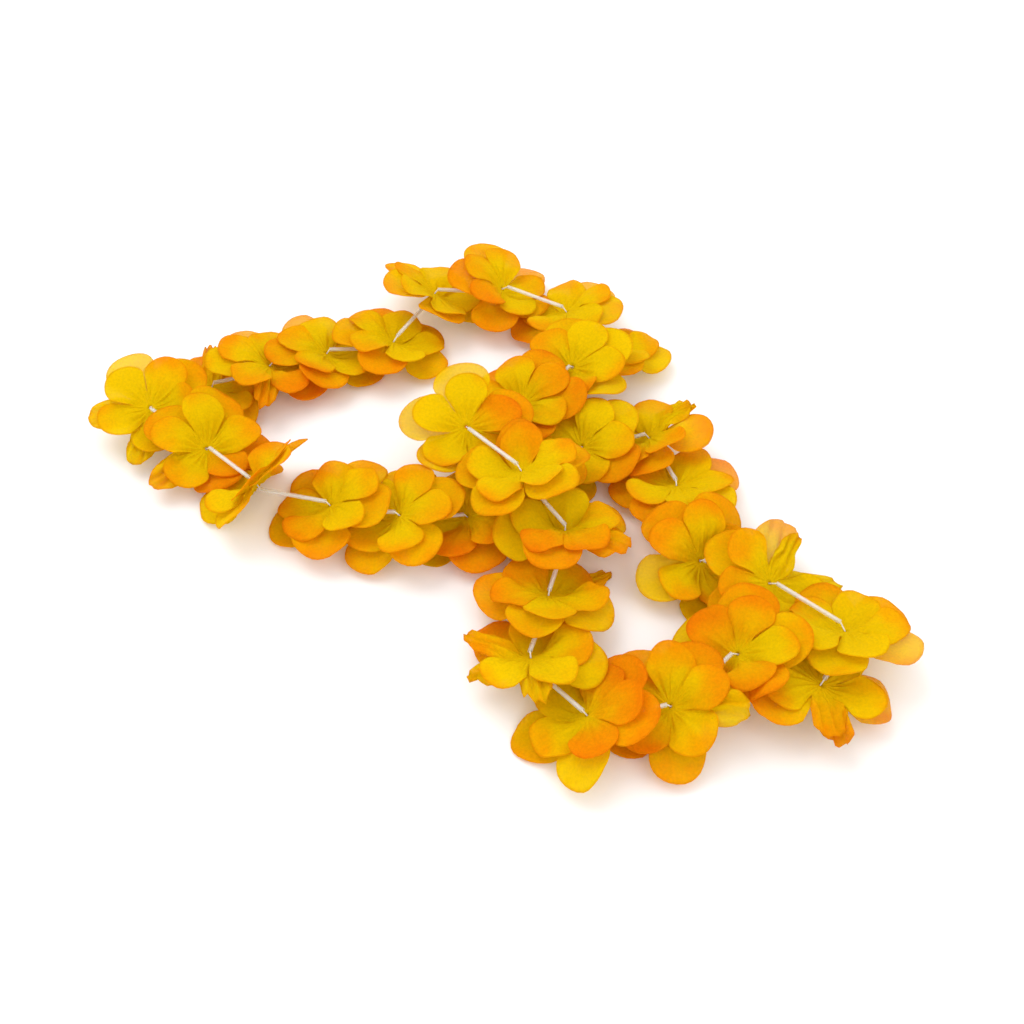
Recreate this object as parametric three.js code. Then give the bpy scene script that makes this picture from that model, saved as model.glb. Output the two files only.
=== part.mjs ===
// A made flower lei: die-cut cloth blossoms in pairs, strung on one thread loop with
// drinking-straw spacers, lying on a table in a loose figure of eight. Millimetres, +Z up.
import * as THREE from 'three';

// Driving sizes
const LARGE_REACH = 30; // hole to petal tip of the lower, larger blossom
const SMALL_REACH = 25; // hole to petal tip of the upper, smaller blossom
const CLOTH = 0.8; // modelled thickness of one blossom
const LAYER_PITCH = 1.1; // between the mid planes of the two blossoms at the thread
const HOLE_RADIUS = 1.3;
const PRESSED_RADIUS = 2.6; // the two blossoms are one piece inside this radius
const STRAW_LONGEST = 28.5; // cut by hand, so they differ a little
const STRAW_END_GAP = 0.2;
const STRAW_ROOM = 1.5; // kept free round a straw
const STRAW_OUTER = 1.1;
const STRAW_INNER = 0.85;
const STRAW_SIDES = 8;
const THREAD_RADIUS = 0.5;
const THREAD_SIDES = 6;
const KNOT_RADIUS = 1.5;

// Petal outline, as fractions of the reach: a round lobe on a narrow root
const PETALS = 5;
const NOTCH_AT = 0.27;
const LOBE_CENTRE = 0.6;
const LOBE_RADIUS = 0.365;
const SHOULDER_ANGLE = 38;
const FIRST_RIB = 0.33;
const SECOND_RIB = 0.68;

// How a petal leaves the tilted plane at the thread
const BEND_START = 0.12;
const BEND_END = 0.55;
const LOW_STAND = 0.08; // share of the tilt that a lowered petal keeps at its tip
const PATH_STEPS = 24;

// Room between pieces
const LIFT_GAP = 0.25; // air between stacked petals
const STRAW_STANDOFF = 1.7; // straw end to the thread hole
const STRAW_CLEARANCE = 0.8;
const STEEPEST = 0.3; // smallest cosine used for a sloped sheet's upright thickness
const LIFT_ROUNDS = 60;
const CEILING_ROUNDS = 40;
const LARGEST_PUSH = 1.2;
const PUSH_LIMIT = 14;
const SETTLE = 0.5; // a point this near the table lies on it
const NEARLY_LEVEL = 0.97;
const LEAST_GRIP = 0.3; // a point of the cloth nearer the stiff middle than this isn't pushed
const SPREAD = 0.45;
const DISC_SIDES = 16;

// Table map used to lay the petals on each other
const CELL = 0.8;
const MAP_LOW_X = -200;
const MAP_LOW_Y = -160;
const MAP_COLUMNS = 475;
const MAP_ROWS = 440;

// Middle of the finished lei, moved to the origin
const CENTRE_X = -17.02;
const CENTRE_Y = 10.99;

const RADIAN = Math.PI / 180;
const UP = new THREE.Vector3(0, 0, 1);

// Blossom pairs in order along the thread. at: the thread hole. top: which neighbouring
// straw lies on the upper blossom. turn: compass angle of a petal, larger then smaller
// blossom. tilt: slope at the thread. stand: share of that slope that raised petals keep.
const BLOOMS = [
  { at: [-19, 26, 24], top: 'next', turn: [24, 20], tilt: 42, stand: 0.3 },
  { at: [4, 0, 24], top: 'last', turn: [25, 20], tilt: 38, stand: 0.3 },
  { at: [21, -24, 15], top: 'last', turn: [38, 15], tilt: 38, stand: 0.2 },
  { at: [14, -52, 9], top: 'last', turn: [36, 52], tilt: 38, stand: 0.2 },
  { at: [7, -82, 10], top: 'last', turn: [61, 15], tilt: 38, stand: 0.1 },
  { at: [27, -106, 9], top: 'last', turn: [48, 66], tilt: 40, stand: 0.5 },
  { at: [57, -102, 9], top: 'last', turn: [55, 10], tilt: 40, stand: 0.3 },
  { at: [83, -82, 13], top: 'last', turn: [0, 60], tilt: 40, stand: 0.4 },
  { at: [111, -95, 12], top: 'next', turn: [63, 51], tilt: 20, stand: 0.1 },
  { at: [124, -72, 13], top: 'next', turn: [33, 65], tilt: 38, stand: 0.3 },
  { at: [99, -47, 11], top: 'last', turn: [7, 60], tilt: 38, stand: 0.2 },
  { at: [74, -34, 9], top: 'last', turn: [66, 15], tilt: 38, stand: 0.2 },
  { at: [68, 5, 10], top: 'next', turn: [26, 68], tilt: 32, stand: 0.3 },
  { at: [59, 34, 9], top: 'next', turn: [50, 15], tilt: 45, stand: 0.4 },
  { at: [30, 29, 9], top: 'next', turn: [30, 60], tilt: 42, stand: 0.2 },
  { at: [4, 8, 8], top: 'next', turn: [10, 40], tilt: 38, stand: 0.1 },
  { at: [-18, -10, 8], top: 'next', turn: [66, 30], tilt: 38, stand: 0.2 },
  { at: [-45, -13, 12], top: 'next', turn: [8, 62], tilt: 38, stand: 0.2 },
  { at: [-74, -5, 9], top: 'next', turn: [50, 18], tilt: 38, stand: 0.2 },
  { at: [-105, 4, 13], top: 'next', turn: [40, 5], tilt: 62, stand: 0.8 },
  { at: [-130, 28, 9], top: 'last', turn: [12, 30], tilt: 38, stand: 0.2 },
  { at: [-156, 47, 15], top: 'last', turn: [49, 67], tilt: 38, stand: 0.3 },
  { at: [-134, 67, 8], top: 'next', turn: [19, 28], tilt: 20, stand: 0.1 },
  { at: [-109, 77, 12], top: 'next', turn: [55, 28], tilt: 38, stand: 0.2 },
  { at: [-85, 90, 8], top: 'next', turn: [56, 36], tilt: 38, stand: 0.2 },
  { at: [-55, 98, 8], top: 'next', turn: [40, 5], tilt: 38, stand: 0.2 },
  { at: [-37, 127, 13], top: 'next', turn: [67, 8], tilt: 45, stand: 0.6 },
  { at: [-5, 131, 13], top: 'next', turn: [50, 20], tilt: 50, stand: 0.3 },
  { at: [26, 117, 10], top: 'last', turn: [50, 20], tilt: 38, stand: 0.2 },
  { at: [45, 92, 7], top: 'last', turn: [62, 16], tilt: 38, stand: 0.2 },
  { at: [27, 72, 16], top: 'next', turn: [20, 56], tilt: 38, stand: 0.3 },
  { at: [5, 53, 12], top: 'next', turn: [60, 30], tilt: 38, stand: 0.1 },
];
const COUNT = BLOOMS.length;

// The order in which the pieces come to lie on each other, bottom first. A number is a
// blossom pair, a number with a minus sign is the straw that follows that pair.
const LAYING = [
  -12, 13, -13, 14, -14, 15, -15, 16, -16, 17, -17, 18, -18, 19, -19, 20,
  -22, 23, -23, 22, -21, 21, -20, 24, -24, 25, -25, 26, -26, 27, -27,
  -30, 30, -29, 29, 28, -28, 31, -31, 32, -32,
  12, -11, -8, 9, -9, 11, 10, -10,
  8, -7, 7, -6, 6, -5, 5, -4, 4, -3, 3, -2, 1, 2, -1,
];

// Straws that are wholly hidden in the pile and past the count of separate solids
const UNMODELLED_STRAWS = [8, 13, 15, 16, 32];

const wrap = (index) => (index + COUNT) % COUNT;
const smooth = (value) => {
  const clipped = Math.min(Math.max(value, 0), 1);
  return clipped * clipped * (3 - 2 * clipped);
};
// A repeatable number from -1 to 1 for a bloom, a petal and a purpose
const vary = (bloom, petal, purpose) => {
  const wave = Math.sin(bloom * 12.9898 + petal * 78.233 + purpose * 37.719) * 43758.5453;
  return 2 * (wave - Math.floor(wave)) - 1;
};

// Thread hole, tilt and in-plane directions of each blossom pair
function hubFrame(index) {
  const bloom = BLOOMS[index];
  const at = new THREE.Vector3(...bloom.at);
  const before = new THREE.Vector3(...BLOOMS[wrap(index - 1)].at).sub(at).normalize();
  const after = new THREE.Vector3(...BLOOMS[wrap(index + 1)].at).sub(at).normalize();
  const topSide = bloom.top === 'last' ? before : after;
  const lowSide = bloom.top === 'last' ? after : before;
  const lean = topSide.clone().sub(lowSide).setZ(0).normalize();
  const rise = lean.clone().negate();
  const axis = new THREE.Vector3().crossVectors(rise, UP);
  return { at, before, after, rise, axis, bearing: Math.atan2(axis.y, axis.x), tilt: bloom.tilt * RADIAN };
}

function planeAt(frame, tilt) {
  const climb = frame.rise.clone().multiplyScalar(Math.cos(tilt)).addScaledVector(UP, Math.sin(tilt));
  const normal = new THREE.Vector3().crossVectors(frame.axis, climb);
  return { climb, normal };
}

const HUBS = BLOOMS.map((bloom, index) => hubFrame(index));

// Straw ends: clear of the sloped blossoms at both holes
function strawEnd(index, towards, onTop) {
  const hub = HUBS[index];
  const normal = planeAt(hub, hub.tilt).normal;
  const side = onTop ? 1 : -1;
  const along = normal.dot(towards);
  const across = normal.clone().addScaledVector(towards, -along);
  const slope = across.length();
  const end = hub.at.clone().addScaledVector(towards, STRAW_STANDOFF);
  if (slope < 0.15) {
    return end;
  }
  const skin = (LAYER_PITCH + CLOTH) / 2 + STRAW_CLEARANCE;
  const offset = Math.max(0, (skin + STRAW_ROOM * slope - side * STRAW_STANDOFF * along) / slope);
  return end.addScaledVector(across.normalize(), side * offset);
}

function strawLine(index) {
  const next = wrap(index + 1);
  const first = strawEnd(index, HUBS[index].after, BLOOMS[index].top === 'next');
  const last = strawEnd(next, HUBS[next].before, BLOOMS[next].top === 'last');
  const direction = last.clone().sub(first);
  const room = direction.length();
  direction.normalize();
  const middle = first.clone().addScaledVector(direction, room / 2);
  const length = Math.min(STRAW_LONGEST, room - STRAW_END_GAP);
  return {
    start: middle.clone().addScaledVector(direction, -length / 2),
    end: middle.clone().addScaledVector(direction, length / 2),
    direction,
    length,
  };
}

const STRAWS = BLOOMS.map((bloom, index) => strawLine(index));

// Height of whatever already lies on the table, cell by cell, and of what will lie above
const tableMap = new Float64Array(MAP_COLUMNS * MAP_ROWS).fill(-LIFT_GAP);
const raiseMap = (map) => (cell, height, half) => {
  map[cell] = Math.max(map[cell], height + half);
};
const lowerMap = (map) => (cell, height, half) => {
  map[cell] = Math.min(map[cell], height - half);
};

function cellsOf(corners) {
  const [a, b, c] = corners;
  const area = (b.x - a.x) * (c.y - a.y) - (c.x - a.x) * (b.y - a.y);
  const cells = [];
  if (Math.abs(area) < 1e-6) {
    return cells;
  }
  const lowColumn = Math.ceil((Math.min(a.x, b.x, c.x) - MAP_LOW_X) / CELL);
  const highColumn = Math.floor((Math.max(a.x, b.x, c.x) - MAP_LOW_X) / CELL);
  const lowRow = Math.ceil((Math.min(a.y, b.y, c.y) - MAP_LOW_Y) / CELL);
  const highRow = Math.floor((Math.max(a.y, b.y, c.y) - MAP_LOW_Y) / CELL);
  for (let row = lowRow; row <= highRow; row += 1) {
    for (let column = lowColumn; column <= highColumn; column += 1) {
      const x = MAP_LOW_X + column * CELL;
      const y = MAP_LOW_Y + row * CELL;
      const wb = ((x - a.x) * (c.y - a.y) - (c.x - a.x) * (y - a.y)) / area;
      const wc = ((b.x - a.x) * (y - a.y) - (x - a.x) * (b.y - a.y)) / area;
      const wa = 1 - wb - wc;
      if (wa >= 0 && wb >= 0 && wc >= 0) {
        cells.push({ cell: row * MAP_COLUMNS + column, weights: [wa, wb, wc] });
      }
    }
  }
  return cells;
}

function uprightHalf(corners) {
  const [a, b, c] = corners;
  const face = new THREE.Vector3().crossVectors(b.clone().sub(a), c.clone().sub(a));
  const cosine = Math.abs(face.z) / Math.max(face.length(), 1e-9);
  return CLOTH / 2 / Math.max(cosine, STEEPEST);
}

// Moves the free points of a petal up off what lies below it, and down from what will lie
// above it. A push spreads over the petal, so that it stays smooth.
function clearPetal(points, faces, fixed, ceiling, reach) {
  const covers = faces.map((face) => cellsOf(face.map((name) => points[name])));
  const names = Object.keys(points).filter((name) => !fixed.has(name));
  const free = new Map(names.map((name) => [name, points[name].z]));
  for (let round = 0; round < LIFT_ROUNDS; round += 1) {
    let moved = false;
    faces.forEach((face, index) => {
      const corners = face.map((name) => points[name]);
      const half = uprightHalf(corners);
      let worst = 0;
      let found = null;
      for (const entry of covers[index]) {
        const [wa, wb, wc] = entry.weights;
        const height = wa * corners[0].z + wb * corners[1].z + wc * corners[2].z;
        const lack = tableMap[entry.cell] + LIFT_GAP + half - height;
        const excess = round < CEILING_ROUNDS ? height + half + LIFT_GAP - ceiling[entry.cell] : 0;
        const push = lack > 0 ? lack : -Math.max(excess, 0);
        const grip = face.reduce((sum, name, k) => sum + (fixed.has(name) ? 0 : entry.weights[k]), 0);
        if (Math.abs(push) > Math.max(Math.abs(worst), 1e-3) && grip > LEAST_GRIP) {
          worst = push;
          found = entry;
        }
      }
      if (found) {
        moved = true;
        const [wa, wb, wc] = found.weights;
        const x = wa * corners[0].x + wb * corners[1].x + wc * corners[2].x;
        const y = wa * corners[0].y + wb * corners[1].y + wc * corners[2].y;
        const share = (point) => 1 / (1 + ((point.x - x) ** 2 + (point.y - y) ** 2) / (SPREAD * reach) ** 2);
        const total = face.reduce((sum, name, k) => sum + (fixed.has(name) ? 0 : found.weights[k] * share(points[name])), 0);
        for (const name of names) {
          const pushed = points[name].z + worst * Math.min(share(points[name]) / total, LARGEST_PUSH);
          points[name].z = Math.min(Math.max(pushed, free.get(name) - PUSH_LIMIT), free.get(name) + PUSH_LIMIT);
        }
      }
    });
    if (!moved) {
      return;
    }
  }
}

function printPetal(points, faces, mark) {
  for (const face of faces) {
    const corners = face.map((name) => points[name]);
    const half = uprightHalf(corners);
    for (const { cell, weights } of cellsOf(corners)) {
      const height = weights[0] * corners[0].z + weights[1] * corners[1].z + weights[2] * corners[2].z;
      mark(cell, height, half);
    }
  }
}

function printRod({ start, end }, mark) {
  const along = end.clone().sub(start);
  const flat = Math.hypot(along.x, along.y);
  const reach = STRAW_ROOM + CELL / 2;
  const lowColumn = Math.floor((Math.min(start.x, end.x) - reach - MAP_LOW_X) / CELL);
  const highColumn = Math.ceil((Math.max(start.x, end.x) + reach - MAP_LOW_X) / CELL);
  const lowRow = Math.floor((Math.min(start.y, end.y) - reach - MAP_LOW_Y) / CELL);
  const highRow = Math.ceil((Math.max(start.y, end.y) + reach - MAP_LOW_Y) / CELL);
  for (let row = lowRow; row <= highRow; row += 1) {
    for (let column = lowColumn; column <= highColumn; column += 1) {
      const dx = MAP_LOW_X + column * CELL - start.x;
      const dy = MAP_LOW_Y + row * CELL - start.y;
      const share = Math.min(Math.max((dx * along.x + dy * along.y) / (flat * flat), 0), 1);
      const away = Math.hypot(dx - share * along.x, dy - share * along.y);
      if (away <= reach) {
        mark(row * MAP_COLUMNS + column, start.z + share * along.z, STRAW_ROOM);
      }
    }
  }
}

// The stiff middle of a blossom, out to its notches, as a fan of triangles
function printDisc(bloom, layer, mark) {
  const frame = HUBS[bloom];
  const reach = layer === 0 ? LARGE_REACH : SMALL_REACH;
  const { normal } = planeAt(frame, frame.tilt);
  const origin = frame.at.clone().addScaledVector(normal, (layer - 0.5) * LAYER_PITCH);
  const rim = [];
  for (let k = 0; k < DISC_SIDES; k += 1) {
    rim.push(ringPoint(frame, origin, (2 * Math.PI * k) / DISC_SIDES, NOTCH_AT * reach));
  }
  for (let k = 0; k < DISC_SIDES; k += 1) {
    const corners = [origin, rim[k], rim[(k + 1) % DISC_SIDES]];
    const half = uprightHalf(corners);
    for (const { cell, weights } of cellsOf(corners)) {
      const height = weights[0] * corners[0].z + weights[1] * corners[1].z + weights[2] * corners[2].z;
      mark(cell, height, half);
    }
  }
}

// Undersides of the straws and stiff middles that come to lie on a piece later
function ceilingAfter(place) {
  const ceiling = new Float64Array(MAP_COLUMNS * MAP_ROWS).fill(Infinity);
  const mark = lowerMap(ceiling);
  for (const entry of LAYING.slice(place + 1)) {
    if (entry < 0) {
      printRod(STRAWS[-entry - 1], mark);
    } else {
      printDisc(entry - 1, 0, mark);
    }
  }
  return ceiling;
}

// Flat outline of one petal: [distance from the hole, distance off the midline]
const SHOULDER_S = LOBE_CENTRE + LOBE_RADIUS * Math.cos(SHOULDER_ANGLE * RADIAN);
const SHOULDER_T = LOBE_RADIUS * Math.sin(SHOULDER_ANGLE * RADIAN);
const OUTLINE = {
  sideA: [LOBE_CENTRE, -LOBE_RADIUS],
  sideB: [LOBE_CENTRE, LOBE_RADIUS],
  shoulderA: [SHOULDER_S, -SHOULDER_T],
  shoulderB: [SHOULDER_S, SHOULDER_T],
  tip: [LOBE_CENTRE + LOBE_RADIUS, 0],
  ribOne: [FIRST_RIB, 0],
  ribTwo: [SECOND_RIB, 0],
};
const FREE_POINTS = Object.keys(OUTLINE);
const PETAL_FACES = [
  ['rootA', 'ribOne', 'rootB'],
  ['rootA', 'notchA', 'ribOne'],
  ['rootB', 'ribOne', 'notchB'],
  ['notchA', 'sideA', 'ribOne'],
  ['notchB', 'ribOne', 'sideB'],
  ['sideA', 'ribTwo', 'ribOne'],
  ['sideB', 'ribOne', 'ribTwo'],
  ['sideA', 'shoulderA', 'ribTwo'],
  ['sideB', 'ribTwo', 'shoulderB'],
  ['shoulderA', 'tip', 'ribTwo'],
  ['shoulderB', 'ribTwo', 'tip'],
];
const PETAL_RIM = ['notchA', 'sideA', 'shoulderA', 'tip', 'shoulderB', 'sideB', 'notchB'];
const FIXED_POINTS = new Set(['rootA', 'rootB', 'notchA', 'notchB']);

// A point of a bent petal. angle: direction in the tilted plane
function petalPoint(frame, origin, angle, reach, form, s, t) {
  const place = origin.clone();
  let forward = null;
  let sideways = null;
  let outward = null;
  for (let step = 0; step <= PATH_STEPS; step += 1) {
    const here = (s * step) / PATH_STEPS;
    const bend = smooth((here - BEND_START) / (BEND_END - BEND_START));
    const tilt = frame.tilt * (1 - (1 - form.stand) * bend);
    const { climb, normal } = planeAt(frame, tilt);
    const turned = angle + form.swing * bend;
    const flatForward = frame.axis.clone().multiplyScalar(Math.cos(turned)).addScaledVector(climb, Math.sin(turned));
    const flatSide = frame.axis.clone().multiplyScalar(-Math.sin(turned)).addScaledVector(climb, Math.cos(turned));
    const droop = form.droop * bend;
    forward = flatForward.clone().multiplyScalar(Math.cos(droop)).addScaledVector(normal, -Math.sin(droop));
    const lifted = normal.clone().multiplyScalar(Math.cos(droop)).addScaledVector(flatForward, Math.sin(droop));
    const twist = form.twist * bend;
    sideways = flatSide.clone().multiplyScalar(Math.cos(twist)).addScaledVector(lifted, Math.sin(twist));
    outward = lifted.clone().multiplyScalar(Math.cos(twist)).addScaledVector(flatSide, -Math.sin(twist));
    if (step < PATH_STEPS) {
      place.addScaledVector(forward, (s * reach) / PATH_STEPS);
    }
  }
  place.addScaledVector(sideways, t * reach);
  place.addScaledVector(outward, form.cup * t * t * reach);
  return place;
}

function ringPoint(frame, origin, angle, radius) {
  const { climb } = planeAt(frame, frame.tilt);
  return origin.clone().addScaledVector(frame.axis, radius * Math.cos(angle)).addScaledVector(climb, radius * Math.sin(angle));
}

function petalForm(bloom, layer, petal, angle) {
  const key = layer * PETALS + petal;
  const raised = Math.sin(angle);
  const stand = raised > 0 ? BLOOMS[bloom].stand : LOW_STAND;
  return {
    stand: stand + (1 - stand) * 0.12 * (1 + vary(bloom, key, 1)) * Math.max(raised, 0),
    swing: 3 * RADIAN * vary(bloom, key, 2),
    droop: (layer === 0 ? 5 + 3 * vary(bloom, key, 3) : -5 + 4 * vary(bloom, key, 3)) * RADIAN,
    twist: 6 * RADIAN * vary(bloom, key, 4),
    cup: 0.25 + 0.25 * vary(bloom, key, 5),
  };
}

// One blossom as a mid surface: five petals that share their notches
function layBlossom(bloom, layer, ceiling) {
  const frame = HUBS[bloom];
  const reach = layer === 0 ? LARGE_REACH : SMALL_REACH;
  const { normal } = planeAt(frame, frame.tilt);
  const origin = frame.at.clone().addScaledVector(normal, (layer - 0.5) * LAYER_PITCH);
  const turn = BLOOMS[bloom].turn[layer] * RADIAN - frame.bearing;
  const half = Math.PI / PETALS;
  const roots = [];
  const notches = [];
  for (let petal = 0; petal < PETALS; petal += 1) {
    const angle = turn + (2 * petal - 1) * half;
    roots.push(ringPoint(frame, origin, angle, PRESSED_RADIUS));
    notches.push(ringPoint(frame, origin, angle, NOTCH_AT * reach));
  }
  const petals = [];
  for (let petal = 0; petal < PETALS; petal += 1) {
    const angle = turn + 2 * petal * half;
    const form = petalForm(bloom, layer, petal, angle);
    const points = {
      rootA: roots[petal],
      rootB: roots[(petal + 1) % PETALS],
      notchA: notches[petal],
      notchB: notches[(petal + 1) % PETALS],
    };
    for (const name of FREE_POINTS) {
      points[name] = petalPoint(frame, origin, angle, reach, form, ...OUTLINE[name]);
    }
    clearPetal(points, PETAL_FACES, FIXED_POINTS, ceiling, reach);
    for (const name of FREE_POINTS) {
      if (points[name].z < CLOTH / 2 + SETTLE) {
        points[name].z = CLOTH / 2;
      }
    }
    petals.push(points);
  }
  return { origin, normal, turn, petals };
}

// Collects triangles and shared points for one mesh
class MeshMaker {
  constructor() {
    this.positions = [];
    this.indices = [];
  }

  add(point) {
    this.positions.push(point.x, point.y, point.z);
    return this.positions.length / 3 - 1;
  }

  face(a, b, c) {
    this.indices.push(a, b, c);
  }

  quad(a, b, c, d) {
    this.face(a, b, c);
    this.face(a, c, d);
  }

  geometry() {
    const geometry = new THREE.BufferGeometry();
    geometry.setAttribute('position', new THREE.Float32BufferAttribute(this.positions, 3));
    geometry.setIndex(this.indices);
    geometry.computeVertexNormals();
    return geometry;
  }
}

// Sheet normals at the points of a blossom; nearly level ones are made level
function sheetNormals(blossom) {
  const sums = new Map();
  for (const points of blossom.petals) {
    for (const face of PETAL_FACES) {
      const [a, b, c] = face.map((name) => points[name]);
      const cross = new THREE.Vector3().crossVectors(b.clone().sub(a), c.clone().sub(a));
      for (const name of face) {
        if (!sums.has(points[name])) {
          sums.set(points[name], new THREE.Vector3());
        }
        sums.get(points[name]).add(cross);
      }
    }
  }
  for (const [point, normal] of sums) {
    normal.normalize();
    if (normal.z > NEARLY_LEVEL || point.z === CLOTH / 2) {
      normal.set(0, 0, 1);
    }
  }
  for (const points of blossom.petals) {
    sums.get(points.rootA).copy(blossom.normal);
  }
  return sums;
}

function addSheet(maker, blossom, innerFace) {
  const normals = sheetNormals(blossom);
  const faces = { top: new Map(), bottom: new Map() };
  for (const [point, normal] of normals) {
    faces.top.set(point, maker.add(point.clone().addScaledVector(normal, CLOTH / 2)));
    faces.bottom.set(point, maker.add(point.clone().addScaledVector(normal, -CLOTH / 2)));
  }
  for (const points of blossom.petals) {
    for (const face of PETAL_FACES) {
      const [a, b, c] = face.map((name) => points[name]);
      maker.face(faces.top.get(a), faces.top.get(b), faces.top.get(c));
      maker.face(faces.bottom.get(a), faces.bottom.get(c), faces.bottom.get(b));
    }
    for (let k = 0; k + 1 < PETAL_RIM.length; k += 1) {
      const first = points[PETAL_RIM[k]];
      const second = points[PETAL_RIM[k + 1]];
      maker.quad(faces.bottom.get(first), faces.bottom.get(second), faces.top.get(second), faces.top.get(first));
    }
  }
  const roots = blossom.petals.map((points) => faces[innerFace].get(points.rootA));
  const outerRoots = blossom.petals.map((points) => faces[innerFace === 'top' ? 'bottom' : 'top'].get(points.rootA));
  return { roots, outerRoots };
}

// Index shift that pairs the two pentagons with the least twist
function closestShift(lower, upper) {
  const step = (2 * Math.PI) / PETALS;
  return Math.round((upper.turn - lower.turn) / step);
}

function bloomGeometry(lower, upper, frame) {
  const maker = new MeshMaker();
  const low = addSheet(maker, lower, 'top');
  const high = addSheet(maker, upper, 'bottom');
  const half = Math.PI / PETALS;
  const holeLow = [];
  const holeHigh = [];
  for (let k = 0; k < PETALS; k += 1) {
    const angle = (2 * k - 1) * half;
    const lowPoint = ringPoint(frame, lower.origin, lower.turn + angle, HOLE_RADIUS);
    const highPoint = ringPoint(frame, upper.origin, upper.turn + angle, HOLE_RADIUS);
    holeLow.push(maker.add(lowPoint.addScaledVector(lower.normal, -CLOTH / 2)));
    holeHigh.push(maker.add(highPoint.addScaledVector(upper.normal, CLOTH / 2)));
  }
  const shift = closestShift(lower, upper);
  for (let k = 0; k < PETALS; k += 1) {
    const next = (k + 1) % PETALS;
    const paired = (((k - shift) % PETALS) + PETALS) % PETALS;
    const pairedNext = (paired + 1) % PETALS;
    maker.quad(low.roots[k], low.roots[next], high.roots[pairedNext], high.roots[paired]);
    maker.quad(holeLow[next], holeLow[k], holeHigh[paired], holeHigh[pairedNext]);
    maker.quad(low.outerRoots[next], low.outerRoots[k], holeLow[k], holeLow[next]);
    maker.quad(high.outerRoots[k], high.outerRoots[next], holeHigh[next], holeHigh[k]);
  }
  return maker.geometry();
}

// Straws: plain tubes cut from a drinking straw
function strawGeometry(length) {
  const ring = new THREE.Shape();
  ring.absarc(0, 0, STRAW_OUTER, 0, 2 * Math.PI, false);
  const bore = new THREE.Path();
  bore.absarc(0, 0, STRAW_INNER, 0, 2 * Math.PI, true);
  ring.holes.push(bore);
  const options = { depth: length, bevelEnabled: false, curveSegments: STRAW_SIDES / 2, steps: 1 };
  return new THREE.ExtrudeGeometry(ring, options);
}

// Thread: one closed loop through every hole and straw, with its knot
function threadRoute() {
  const route = [];
  HUBS.forEach((hub, index) => {
    const straw = STRAWS[index];
    route.push({ place: hub.at.clone(), radius: THREAD_RADIUS });
    route.push({ place: straw.start.clone(), radius: THREAD_RADIUS });
    if (index === COUNT - 1) {
      for (const [share, radius] of [[0.4, THREAD_RADIUS], [0.46, KNOT_RADIUS], [0.54, KNOT_RADIUS], [0.6, THREAD_RADIUS]]) {
        route.push({ place: straw.start.clone().lerp(straw.end, share), radius });
      }
    }
    route.push({ place: straw.end.clone(), radius: THREAD_RADIUS });
  });
  return route;
}

function threadGeometry() {
  const route = threadRoute();
  const maker = new MeshMaker();
  const rings = route.map(({ place, radius }, index) => {
    const last = route[(index + route.length - 1) % route.length].place;
    const next = route[(index + 1) % route.length].place;
    const forward = next.clone().sub(place).normalize().add(place.clone().sub(last).normalize()).normalize();
    const side = new THREE.Vector3().crossVectors(forward, UP).normalize();
    const over = new THREE.Vector3().crossVectors(side, forward);
    const ring = [];
    for (let k = 0; k < THREAD_SIDES; k += 1) {
      const angle = (2 * Math.PI * k) / THREAD_SIDES;
      const point = place.clone().addScaledVector(side, radius * Math.cos(angle));
      ring.push(maker.add(point.addScaledVector(over, radius * Math.sin(angle))));
    }
    return ring;
  });
  rings.forEach((ring, index) => {
    const next = rings[(index + 1) % rings.length];
    for (let k = 0; k < THREAD_SIDES; k += 1) {
      const j = (k + 1) % THREAD_SIDES;
      maker.quad(ring[k], next[k], next[j], ring[j]);
    }
  });
  return maker.geometry();
}

const printBlossom = (blossom) => {
  blossom.petals.forEach((points) => printPetal(points, PETAL_FACES, raiseMap(tableMap)));
};

// Lay every piece in turn, then make the meshes
const laid = [];
LAYING.forEach((entry, place) => {
  if (entry < 0) {
    printRod(STRAWS[-entry - 1], raiseMap(tableMap));
    return;
  }
  const index = entry - 1;
  const ceiling = ceilingAfter(place);
  const lowerCeiling = ceiling.slice();
  printDisc(index, 1, lowerMap(lowerCeiling));
  const lower = layBlossom(index, 0, lowerCeiling);
  printBlossom(lower);
  const upper = layBlossom(index, 1, ceiling);
  printBlossom(upper);
  laid[index] = { lower, upper };
});

const clothYellow = new THREE.MeshStandardMaterial({ color: 0xe8bd0c, roughness: 0.85, metalness: 0 });
const clothOrange = new THREE.MeshStandardMaterial({ color: 0xf09a05, roughness: 0.85, metalness: 0 });
const strawPlastic = new THREE.MeshStandardMaterial({ color: 0xf6f3ea, roughness: 0.35, metalness: 0 });
const threadFibre = new THREE.MeshStandardMaterial({ color: 0xf4f1e6, roughness: 0.9, metalness: 0 });

const lei = new THREE.Group();
lei.position.set(-CENTRE_X, -CENTRE_Y, 0);

const label = (index) => String(index + 1).padStart(2, '0');

HUBS.forEach((frame, index) => {
  const { lower, upper } = laid[index];
  const mesh = new THREE.Mesh(bloomGeometry(lower, upper, frame), index % 2 === 0 ? clothYellow : clothOrange);
  mesh.name = `bloom_${label(index)}`;
  lei.add(mesh);
});

STRAWS.forEach((straw, index) => {
  if (UNMODELLED_STRAWS.includes(index + 1)) {
    return;
  }
  const mesh = new THREE.Mesh(strawGeometry(straw.length), strawPlastic);
  mesh.name = `straw_${label(index)}`;
  mesh.position.copy(straw.start);
  mesh.quaternion.setFromUnitVectors(UP, straw.direction);
  lei.add(mesh);
});

const thread = new THREE.Mesh(threadGeometry(), threadFibre);
thread.name = 'thread';
lei.add(thread);

export default lei;
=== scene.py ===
"""A made flower lei: pairs of die-cut cloth blossoms on a thread with clear spacers.

The cloth is laid petal by petal, the way a hand drops the garland on a table, so every
petal rests on what lies under it and under what lies over it. Metres, +Z up.
"""

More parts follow.
